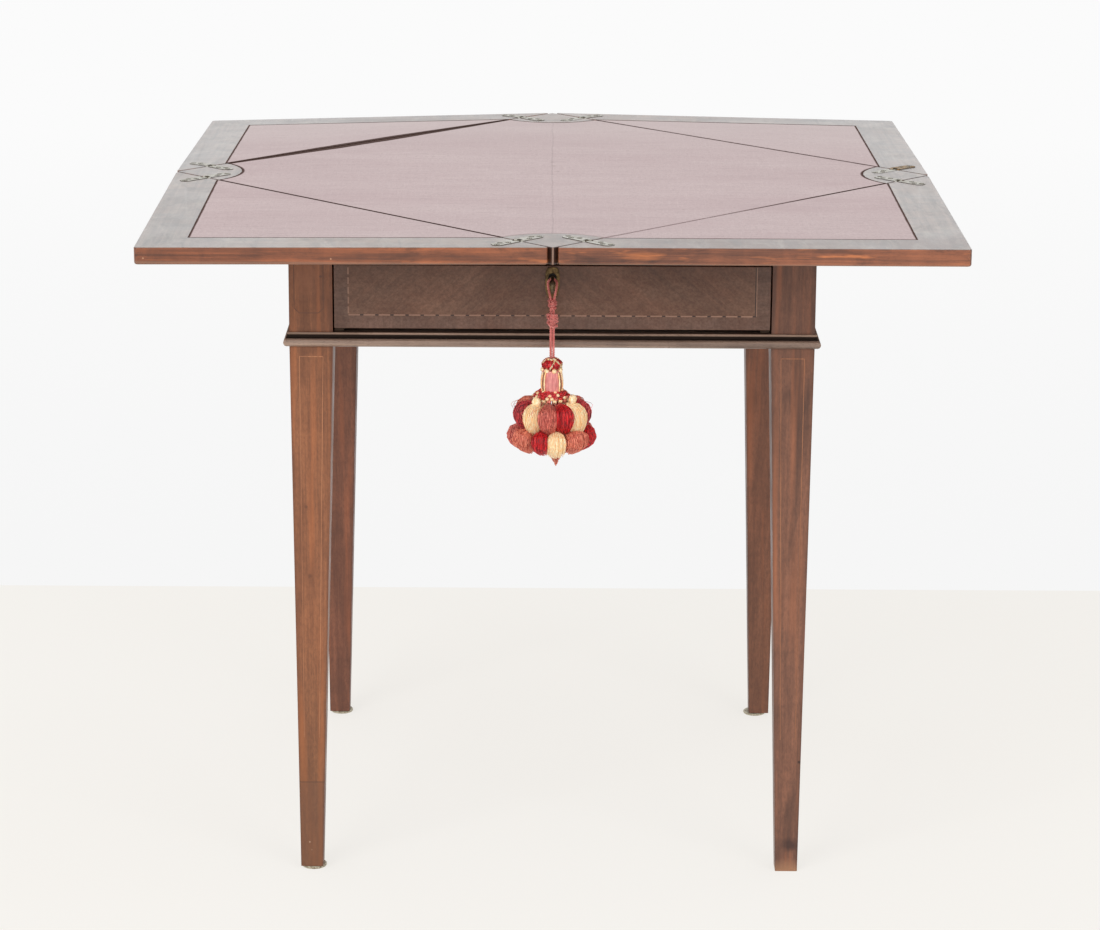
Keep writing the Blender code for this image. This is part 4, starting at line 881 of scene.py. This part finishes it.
# Each row of knots: count, radius, height and knot size, and the silks that take turns in it.
knot_rows = (
    (20, 0.0112, barrel_low - 0.0008, 0.0019, ("crimson", "cream", "crimson", "crimson")),
    (22, 0.0148, barrel_low - 0.003, 0.0021, ("crimson", "cream", "crimson", "crimson")),
    (22, 0.0172, barrel_low - 0.006, 0.0024, ("cream", "rose", "crimson")),
    (18, 0.017, ring_low + 0.0014, 0.0027, ("cream", "cream", "rose")),
)
for row, (count, radius, height, size, turns) in enumerate(knot_rows):
    for number in range(count):
        angle = 2 * pi * (number + 0.5 * (row % 2)) / count
        out = radius + random.uniform(-0.0004, 0.0004)
        place = round_the_tassel(angle, out, height + random.uniform(-0.0005, 0.0005))
        knot_bead(ring_knots[turns[number % len(turns)]], place, size, random.uniform(0.8, 1.1))
# Each of the four pompons: angle, size and height above the ring's foot.
for angle, size, rise in (
    (-0.64, 0.005, 0.0024), (0.92, 0.0052, 0.004), (2.45, 0.0042, -0.003), (-2.4, 0.0042, -0.003),
):
    middle = round_the_tassel(angle, 0.0268, ring_low + rise)
    knot_bead(ring_knots["cream"], middle, size * 0.68, 0.95)
    for part in range(6):
        lean = 2 * pi * part / 6
        aside = Vector((cos(angle), sin(angle), 0.0)) * cos(lean)
        offset = (aside + Vector((0.0, 0.0, sin(lean)))) * size * 0.45
        knot_bead(ring_knots["cream"], middle + offset, size * 0.68, 0.95)
for number in range(18):
    path = []
    for step in range(10):
        turn = 2 * pi * step / 9
        angle = 2 * pi * number / 18 + 0.1 + 0.11 * sin(turn)
        height = ring_low + 0.001 - 0.0022 * (1 - cos(turn))
        path.append(round_the_tassel(angle, 0.0176 + 0.0066 * sin(turn / 2), height))
    laid_rope(ring_knots["rose"], evenly(path, 0.0014), 0.0009, 2, 0.003, 3)
corded("knot_ring", ring_knots)

tuft_silks = ("crimson", "wine", "cream", "rose", "salmon")
tuft_threads = {silk: [] for silk in tuft_silks}
tuft_cores = {silk: bmesh.new() for silk in tuft_silks}
tuft_thick, threads_in_tuft, waist = 0.0086, 78, 0.62


def tuft(silk, angle, half_width, root, swing, end):
    """A bunch of silk threads that springs from under the ring, bulges outwards and is cut below."""
    sideways = Vector((cos(angle), sin(angle), 0.0))
    outward = Vector((sin(angle), -cos(angle), 0.0))
    tuck = 0.0 if silk == "cream" else 0.3

    def spine(share):
        weights = (1 - share) ** 2, 2 * share * (1 - share), share ** 2
        bends = list(zip(weights, (root, swing, end)))
        out, height = [sum(weight * point[part] for weight, point in bends) for part in (0, 1)]
        return axis + outward * out + Vector((0.0, 0.0, height))

    def skin(share, turn, fullness):
        """A point of the tuft's skin, at a turn round its spine."""
        before, after = max(0.0, min(1.0, share) - 0.02), min(1.0, share + 0.02)
        out = sideways.cross((spine(after) - spine(before)).normalized()).normalized()
        filled = 0.26 + 0.74 * sin(pi / 2 * min(1.0, share / waist))
        size = filled * (1 - tuck * max(0.0, (share - waist) / (1 - waist)) ** 2) * fullness
        around = sideways * half_width * cos(turn) + out * tuft_thick * sin(turn)
        return spine(share) + around * size

    shares = [0.02 + 0.95 * step / 8 for step in range(9)]
    turns = [2 * pi * number / 12 for number in range(12)]
    tube(tuft_cores[silk], [[skin(share, turn, 0.88) for turn in turns] for share in shares])
    for number in range(threads_in_tuft):
        turn = 2 * pi * (number + random.uniform(-0.4, 0.4)) / threads_in_tuft
        layer = random.uniform(0.9, 1.08)
        wave = random.uniform(0.0, 6.28)
        cut = random.uniform(0.94, 1.02)
        shares = [cut * step / 8 for step in range(9)]
        points = [skin(share, turn + 0.05 * sin(3.1 * share + wave), layer) for share in shares]
        tuft_threads[silk].append(points)


for silk, degrees, width in (
    ("wine", -72, 0.01), ("cream", -39, 0.0092), ("rose", -8, 0.0104), ("crimson", 24, 0.0098),
    ("cream", 54, 0.0104), ("wine", 86, 0.0104), ("rose", 124, 0.011), ("crimson", 162, 0.0106),
    ("cream", 200, 0.0106), ("salmon", 240, 0.0104),
):
    angle = radians(degrees + random.uniform(-2, 2))
    half_width = width * random.uniform(0.9, 1.02)
    end_radius = 0.0268 + random.uniform(-0.001, 0.001)
    end = (end_radius, ring_low - 0.0265 + random.uniform(-0.0015, 0.001))
    tuft(silk, angle, half_width, (0.0125, ring_low - 0.0045), (0.0435, ring_low - 0.0035), end)
for silk, degrees, width in (
    ("salmon", -52, 0.014), ("crimson", -18, 0.0092), ("cream", 8, 0.01), ("salmon", 44, 0.0145),
    ("crimson", 84, 0.011), ("rose", 114, 0.0115), ("cream", 146, 0.011), ("salmon", 184, 0.0115),
    ("wine", 222, 0.011), ("rose", 268, 0.012),
):
    half_width = width * random.uniform(0.94, 1.02)
    end = (0.0275, ring_low - 0.0475 + random.uniform(-0.001, 0.001))
    root, swing = (0.017, ring_low - 0.0325), (0.052, ring_low - 0.031)
    tuft(silk, radians(degrees), half_width, root, swing, end)
tip_top, tip_lean = ring_low - 0.049, Vector((0.0045, 0.0, 0.0))
for number in range(110):
    turn = random.uniform(0.0, 2 * pi)
    inner = random.uniform(0.0, 0.0085)
    points = []
    for share in (0.0, 0.25, 0.5, 0.75, 1.0):
        out, height = inner * (1.5 - 0.7 * share), tip_top - share * (0.022 - 1.5 * inner)
        points.append(round_the_tassel(turn + 0.3 * share, out, height) + tip_lean * share)
    tuft_threads["salmon"].append(points)
stray_threads = {silk: [] for silk in tuft_silks}
for number in range(16):
    turn, lift = 2 * pi * (number + random.uniform(0.0, 0.8)) / 16, random.uniform(-0.004, 0.004)
    lean = random.uniform(-0.4, 0.4)
    reach = random.uniform(0.041, 0.0445)
    points = []
    for share in (0.0, 0.2, 0.4, 0.6, 0.8, 1.0):
        out = 0.018 + (reach - 0.018) * sin(1.9 * share)
        height = ring_low - 0.003 + (lift + 0.006) * share - 0.014 * share ** 2
        points.append(round_the_tassel(turn + lean * share, out, height))
    stray_threads[("wine", "rose", "crimson", "salmon")[number % 4]].append(points)
for silk in tuft_silks:
    stands_for = "tassel_skirt" if silk == "crimson" else None
    tassel_piece(f"tuft_body_{silk}", tuft_cores[silk], silks[silk], node=stands_for)
    strands = bpy.data.curves.new(f"tuft_threads_{silk}", "CURVE")
    strands.dimensions = "3D"
    strands.bevel_depth = 0.00042
    strands.bevel_resolution = 0
    for bunch, thickness in ((tuft_threads[silk], 1.0), (stray_threads[silk], 0.4)):
        for points in bunch:
            line = strands.splines.new("POLY")
            line.points.add(len(points) - 1)
            for vertex, point in zip(line.points, points):
                vertex.co = (*point, 1.0)
                vertex.radius = thickness
    strands.materials.append(silks[silk])
    threads = bpy.data.objects.new(f"tuft_threads_{silk}", strands)
    bpy.context.scene.collection.objects.link(threads)
    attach(threads, "tassel")


# Top: a square mahogany board set cornerwise, with four flaps round it. The wood is mitred at the
# flaps' corners, dulled by wax and dust on its upper face, warmer and rubbed bright on its edges.
# Painted reflection lies on the upper face, painted shade along the seams, and painted highlight
# and shade on the edges.
half_top = 0.41319
seams = ("front_left", "front_right", "back_right", "back_left")


def board_wood(name, light, dark, seed, rough, sheen, coat):
    """Grain along the edge that each part of the border follows, changing at the mitres."""
    made = new_finish(name)
    by_x = mahogany_grain(light, dark, ALONG_X, seed, contrast=1.7)
    by_y = mahogany_grain(light, dark, ALONG_Y, seed + 0.5, contrast=1.7)
    off_x, off_y = [abs(place) for place in axes()[:2]]
    lead = off_y - off_x
    along_x = lead > 0.0
    colour = blended(along_x, by_y[0], by_x[0])
    relief, tone = [add("ShaderNodeMix", {0: along_x, 2: by_y[part], 3: by_x[part]}) for part in (1, 2)]
    scuffs = cloud((0.07, 0.02, 0.02), 5.0, rough=0.7, warp=0.6).between(0.48, 0.62, 0.5)
    # Painted shade: the wood darkens along each seam between board and flap, at the gap.
    seam_painted_shade = abs(off_x + off_y - half_top).between(0.0026, 0.0014, 0.85)
    mitre = abs(lead).between(0.0012, 0.0003, 0.55) * off_x.smaller(off_y).between(0.3, 0.31)
    colour = colour.stained(scuffs, shade(dark, 0.8)).stained(seam_painted_shade, (58, 40, 34))
    colour = colour.stained(mitre, shade(dark, 0.45))
    polish(colour, relief, tone, rough, 0.00006)
    fill(shader, {
        "Sheen Weight": sheen, "Sheen Roughness": 0.35, "Sheen Tint": (0.96, 0.97, 1.0, 1.0),
        "Coat Weight": coat, "Coat Roughness": 0.28, "Coat IOR": 1.52,
    })
    return made, colour


top_face, colour = board_wood("waxed_top_face", (156, 126, 108), (92, 72, 62), 61.0, 0.42, 0.22, 0.82)
across, away, _ = axes()
# Painted reflection: the upper face grows paler and cooler towards its left and right sides.
colour = colour.stained(abs(across).between(0.2, 0.33, 0.16), (178, 188, 192))
near_front = away.between(-0.33, -0.37) * across.between(0.0, 0.15, 0.55)
smears = cloud((0.05, 0.022, 0.02), 5.0, ALONG_Y, (0.4, 0.2, 0.0), 0.72, 0.8)
stains = cloud((0.06, 0.018, 0.02), 5.0, ALONG_Y, (0.9, 0.5, 0.0), 0.74, 0.9)
scratches = cloud((0.03, 0.0012, 0.01), 3.0, (0.0, 0.0, 0.5), (0.1, 0.7, 0.0), 0.7, 1.2)
colour = colour.stained(near_front, (88, 50, 30))
colour = colour.stained(smears.between(0.48, 0.72, 0.34), (190, 184, 170))
colour = colour.stained(stains.between(0.5, 0.7, 0.6), (52, 42, 38))
colour = colour.stained(scratches.between(0.6, 0.7, 0.4), (62, 50, 44))
fill(shader, {"Base Color": colour})

edge_face, colour = board_wood("rubbed_edge", (176, 106, 72), (76, 46, 36), 62.0, 0.34, 0.0, 0.2)
across, away, height = axes()
amber = cloud((0.05, 0.05, 0.006), 3.0, rough=0.6).between(0.6, 0.72)
soot = cloud((0.09, 0.09, 0.005), 3.0, rough=0.6).between(0.5, 0.66, 0.45)
colour = colour.stained(amber * across.between(-0.1, 0.1, 0.8, 0.25), (200, 120, 72))
colour = colour.stained(soot, (84, 54, 44))
colour = colour.dulled(across.between(0.1, -0.1, 0.6), (255, 236, 205))
# A bright orange patch on the front edge, right of the front corner.
patch_across, patch_up = (across - 0.088) / 0.026, (height - 0.7045) / 0.0046
patch_away = (patch_across ** 2.0 + patch_up ** 2.0).reckon("SQRT")
streaky = cloud((0.02, 0.02, 0.0011), 3.0, rough=0.6)
orange_patch = (streaky * 1.6 + patch_away).between(1.9, 0.7, 0.75) * (away < -0.4)
colour = colour.stained(orange_patch, (206, 122, 70))
# Painted highlight: the edge's lowest few millimetres, its rounded lower arris, are paler.
colour = colour.stained(height.between(0.6975, 0.696, 0.4), (152, 118, 96))
off_x, off_y = abs(across), abs(away)
near_tip, at_tip = off_x.smaller(off_y), off_x.larger(off_y) > 0.4
# Painted shade and highlight at the top's corners: near black within 4.6 mm of each corner, as in the gaps
# beside the flaps' ends, and a pale highlight along the corner itself.
colour = colour.stained(at_tip * near_tip.between(0.0046, 0.004, 0.92), (46, 26, 19))
colour = colour.stained(at_tip * near_tip.between(0.0012, 0.0005, 0.85), (146, 114, 98))
for pin in ((-0.4038, -0.4132, 0.6998), (-0.2188, -0.4132, 0.7)):
    colour = spotted(colour, pin, 0.0013, (206, 156, 124), 0.8)
fill(shader, {"Base Color": colour})
under_face = board_wood("under_face", (136, 94, 72), (88, 58, 44), 63.0, 0.55, 0.0, 0.0)[0]

for node, body in (("base_board", "top"), *[(f"flap_{seam}", f"flap_{seam}") for seam in seams]):
    board = merged(node)
    for face in board.faces:
        face.material_index = 0 if face.normal.z > 0.75 else 2 if face.normal.z < -0.75 else 1
    piece(
        f"{node}_wood", board, top_face, edge_face, under_face,
        body=body, slot="mahogany", smooth=35, node=node,
    )


# Baize: thin mauve wool cloth, faded and worn flat by cards, glued into a shallow recess of the
# board and of each flap, with a seam left open along each hinge line.
baize_edge, quadrant = 0.364, 0.0722


def cloth_darkening_and_seam_shade():
    """How dark the cloth is at its rim and round the corner quadrants, with painted shade along the seams."""
    across, away, _ = axes()
    ragged = cloud(0.02, 3.0, rough=0.7)
    off_x, off_y = abs(across), abs(away)
    beyond_seam = off_x + off_y - half_top
    at_back, at_left = away > 0.0, across < 0.0
    side_rim = (ragged * 0.0014 + off_x).between(baize_edge - 0.0014, baize_edge - 0.0004)
    rim_start = at_back * -0.0016 + (baize_edge - 0.001)
    end_rim = (ragged * 0.0016 + off_y - rim_start).between(0.0, 0.0006)
    rim = side_rim.larger(end_rim) * (beyond_seam > 0.0)
    middle = abs(across + 0.215).between(0.19, 0.03)
    # Painted shade along the seams, in a band that is widest along the middle of the back left seam.
    seam_shade_width = at_back * at_left * middle * 0.013 + 0.0028
    seam = (abs(beyond_seam) - seam_shade_width).between(0.0008, -0.0004)
    seam = seam * across.between(0.16, 0.3, 1.0, 0.1).larger(at_back.larger(at_left))
    to_corner = ((off_x.larger(off_y) - half_top) ** 2.0 + off_x.smaller(off_y) ** 2.0).reckon("SQRT")
    arc = to_corner.between(quadrant + 0.003, quadrant + 0.0016) * (beyond_seam < 0.0)
    arc = arc * away.between(-0.34, -0.3, 1.0, 0.3)
    return rim.larger(seam).larger(arc)


baize = new_finish("faded_baize")
across, away, _ = axes()
nap = cloud(0.0016, 3.0, rough=0.7)
weave_x, weave_y = cloud((0.05, 0.0011, 0.01)), cloud((0.0011, 0.05, 0.01))
fade = cloud((0.35, 0.09, 0.2), 4.0, rough=0.6)
stray = cloud((0.06, 0.0025, 0.01), 4.0, shift=(0.3, 0.1, 0.0), rough=0.75, warp=0.8)
fluff = cloud(0.004, 4.0, rough=0.8)
crease = abs(across + (fade * 0.006 - 0.003)).between(0.0012, 0.0004, 0.4)
cloth = blended(fade.between(0.32, 0.68), (186, 160, 162), (202, 181, 181))
for share, stain in (
    (nap.between(0.36, 0.64, 0.5), (170, 141, 143)),
    (weave_x.between(0.5, 0.75, 0.4), (162, 132, 136)),
    (weave_y.between(0.55, 0.78, 0.25), (214, 196, 195)),
    (stray.between(0.53, 0.68, 0.6), (154, 126, 129)),
    (fluff.between(0.5, 0.68, 0.6), (156, 130, 132)),
    (crease * stray.between(0.35, 0.55), (120, 92, 96)),
):
    cloth = cloth.stained(share, stain)
dent_marks = (0.001, 0.045, 0.004), (0.006, 0.012, 0.0035), (0.136, -0.208, 0.0022), (0.0, 0.07, 0.003)
for x, y, size in dent_marks:
    cloth = spotted(cloth, (x, y, 0.712), size, (120, 86, 84), 0.55)
# Darker rims and quadrant lines, and painted shade along the seams, are laid on the cloth below.
rim_and_seam_shade = cloth_darkening_and_seam_shade()
cloth = cloth.stained(away.between(0.12, 0.38, 0.4), (206, 192, 190))
cloth = cloth.stained(away.between(-0.16, -0.34, 0.06), (80, 70, 70))
fill(shader, {
    "Base Color": cloth.stained(rim_and_seam_shade * 0.94, (66, 42, 32)),
    "Sheen Weight": rim_and_seam_shade * -0.35 + 0.35,
    "Roughness": 0.95,
    "Specular IOR Level": 0.2,
    "Sheen Roughness": 0.5,
    "Normal": bumpy(weave_x + (weave_y + nap), 0.5, 0.0002),
})


def lay_cloth(node, body):
    """The cloth, cut into a grid fine enough to lie a little unevenly."""
    grid_step, waviness, pucker = 0.012, 0.00022, 0.00012
    shape = merged(node)
    low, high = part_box(node)
    for side, direction in enumerate((Vector((1.0, 0.0, 0.0)), Vector((0.0, 1.0, 0.0)))):
        count = int((high[side] - low[side]) / grid_step)
        for number in range(1, count):
            place = direction * (low[side] + (high[side] - low[side]) * number / count)
            parts = [*shape.verts, *shape.edges, *shape.faces]
            bmesh.ops.bisect_plane(shape, geom=parts, plane_co=place, plane_no=direction, dist=0.00001)
    if node in ("base_baize", "baize_front_right"):
        stretch_front_right(shape, 1 if node == "base_baize" else -1)
    area = sum(face.calc_area() for face in shape.faces if face.normal.z > 0.7)
    folded = [edge for edge in shape.edges if len(edge.link_faces) == 2 and edge.calc_face_angle() > 0.5]
    held = {vert for edge in folded for vert in edge.verts}
    held |= {vert for edge in shape.edges if edge.is_boundary for vert in edge.verts}
    for vert in shape.verts:
        if vert not in held and vert.normal.z > 0.7:
            vert.co.z += waviness * noise.noise(vert.co * 22) + pucker * noise.noise(vert.co * 60)
    made = piece(f"{node}_cloth", shape, baize, body=body, slot="baize", smooth=40, node=node)


def stretch_front_right(shape, inward):
    """The two cloths come closer to each other at the front end of the front right seam."""
    across_seam, stretch = Vector((1.0, -1.0, 0.0)).normalized(), 0.00045
    near = [vert for vert in shape.verts if vert.co.x > 0.02 and vert.co.y < -0.02]
    rim = max(inward * (vert.co.x - vert.co.y) for vert in near)
    for vert in near:
        if inward * (vert.co.x - vert.co.y) > rim - 0.0004:
            vert.co += across_seam * inward * stretch * min(1.0, max(0.0, (0.3 - vert.co.x) / 0.08))


lay_cloth("base_baize", "top")
for seam in seams:
    lay_cloth(f"baize_{seam}", f"flap_{seam}")


# Link hinges: two brass leaves let in flush across each end of a seam, each held by three slotted
# screws, and a short link with a pin at either end between them. They are dull and full of wax.
hinge_brass = old_brass("tarnished_hinge_brass", (206, 203, 194), (178, 173, 162), 71.0, 0.85, 0.36, 0.3)
link_brass = old_brass("link_brass", (160, 150, 126), (92, 82, 64), 72.0, 0.85, 0.4)
screw_brass = old_brass("screw_brass", (176, 168, 150), (132, 124, 106), 74.0, 0.9, 0.4)
browned_brass = old_brass("browned_leaf_brass", (178, 156, 128), (126, 98, 62), 73.0, 0.4, 0.6)
# The leaves' side faces are finished near black, which gives each leaf a dark outline.
dark_edge_spot_size = (0.004, 0.004, 0.001)
dark_leaf_edges = dirt_and_shade("dark_leaf_edge_finish", (30, 26, 22), (84, 74, 62), 0.8, dark_edge_spot_size, 3.0, 0.35, 0.65)
slot_dirt = dirt_and_shade("screw_slot_dirt", (24, 20, 17), (46, 38, 30), 0.85, 0.001)


def leaf_plane(node, across):
    """Where a leaf's upper face lies: a frame at its centre with X across the seam, and its half sizes."""
    beside = Vector((-across.y, across.x, 0.0))
    points = [vert.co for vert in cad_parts[node].data.vertices]
    runs = sorted(point.dot(across) for point in points)
    spans = sorted(point.dot(beside) for point in points)
    half_run, half_span = (runs[-1] - runs[0]) / 2, (spans[-1] - spans[0]) / 2
    centre = across * (runs[0] + runs[-1]) / 2 + beside * (spans[0] + spans[-1]) / 2
    outer, inner = [
        max(point.z for point in points if (point - centre).dot(across) * way > half_run * 0.8)
        for way in (1, -1)
    ]
    slope = Vector((across.x, across.y, (outer - inner) / (2 * half_run))).normalized()
    centre.z = (outer + inner) / 2
    turn = Matrix((slope, beside, slope.cross(beside))).transposed().to_4x4()
    return Matrix.Translation(centre) @ turn, half_run, half_span


def brass_leaf(leaf, body, outward, seam, part):
    """A leaf that stands a little proud of the wood, and its three screws."""
    plane, half_run, half_span = leaf_plane(leaf, outward)
    up = plane.to_3x3() @ Vector((0.0, 0.0, 1.0))
    browned = leaf == browned_leaf
    proud = 0.0008 if browned else 0.0003 if seam == "back_right" and part == "board" else 0.0006
    shape = merged(leaf)
    for vert in shape.verts:
        if (vert.co - plane.translation).dot(up) > -0.0004:
            vert.co += up * proud
    for face in shape.faces:
        face.material_index = 0 if face.normal.dot(up) > 0.8 else 1
    surface = browned_brass if browned else hinge_brass
    piece(f"{leaf}_brass", shape, surface, dark_leaf_edges, body=body, slot="hinge_brass", smooth=35, node=leaf)
    heads, slots = screws.setdefault(body, (bmesh.new(), bmesh.new()))
    to_tail = -half_run if part == "board" else half_run
    for share, shift, twist in ((0.74, 0.2, 0.5), (0.28, -0.34, 1.9), (-0.16, 0.34, 1.1)):
        spot = plane @ Matrix.Translation((to_tail * share, half_span * shift, proud))
        for target, low, high, depth in ((slots, 0.0029, 0.0029, 0.0001), (heads, 0.0025, 0.0021, 0.00022)):
            bmesh.ops.create_cone(
                target, cap_ends=True, cap_tris=False, segments=14,
                radius1=low, radius2=high, depth=depth, matrix=spot,
            )
        cut = Matrix.Rotation(twist, 4, "Z") @ Matrix.Diagonal((0.0042, 0.0007, 0.00028, 1.0))
        bmesh.ops.create_cube(slots, size=1.0, matrix=spot @ cut)


screws = {}
browned_leaf = max(("flap_leaf_back_right_a", "flap_leaf_back_right_b"), key=lambda leaf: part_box(leaf)[1].x)
for seam, degrees in zip(seams, (225, 315, 45, 135)):
    turn = radians(degrees)
    outward = Vector((cos(turn), sin(turn), 0.0))
    for label in ("a", "b"):
        finish_node(f"link_{seam}_{label}", link_brass)
        brass_leaf(f"board_leaf_{seam}_{label}", "top", outward, seam, "board")
        brass_leaf(f"flap_leaf_{seam}_{label}", f"flap_{seam}", outward, seam, "flap")
for body, (heads, slots) in screws.items():
    piece(f"screw_heads_{body}", heads, screw_brass, body=body, slot="hinge_brass")
    piece(f"screw_slots_{body}", slots, slot_dirt, body=body, slot="hinge_brass")
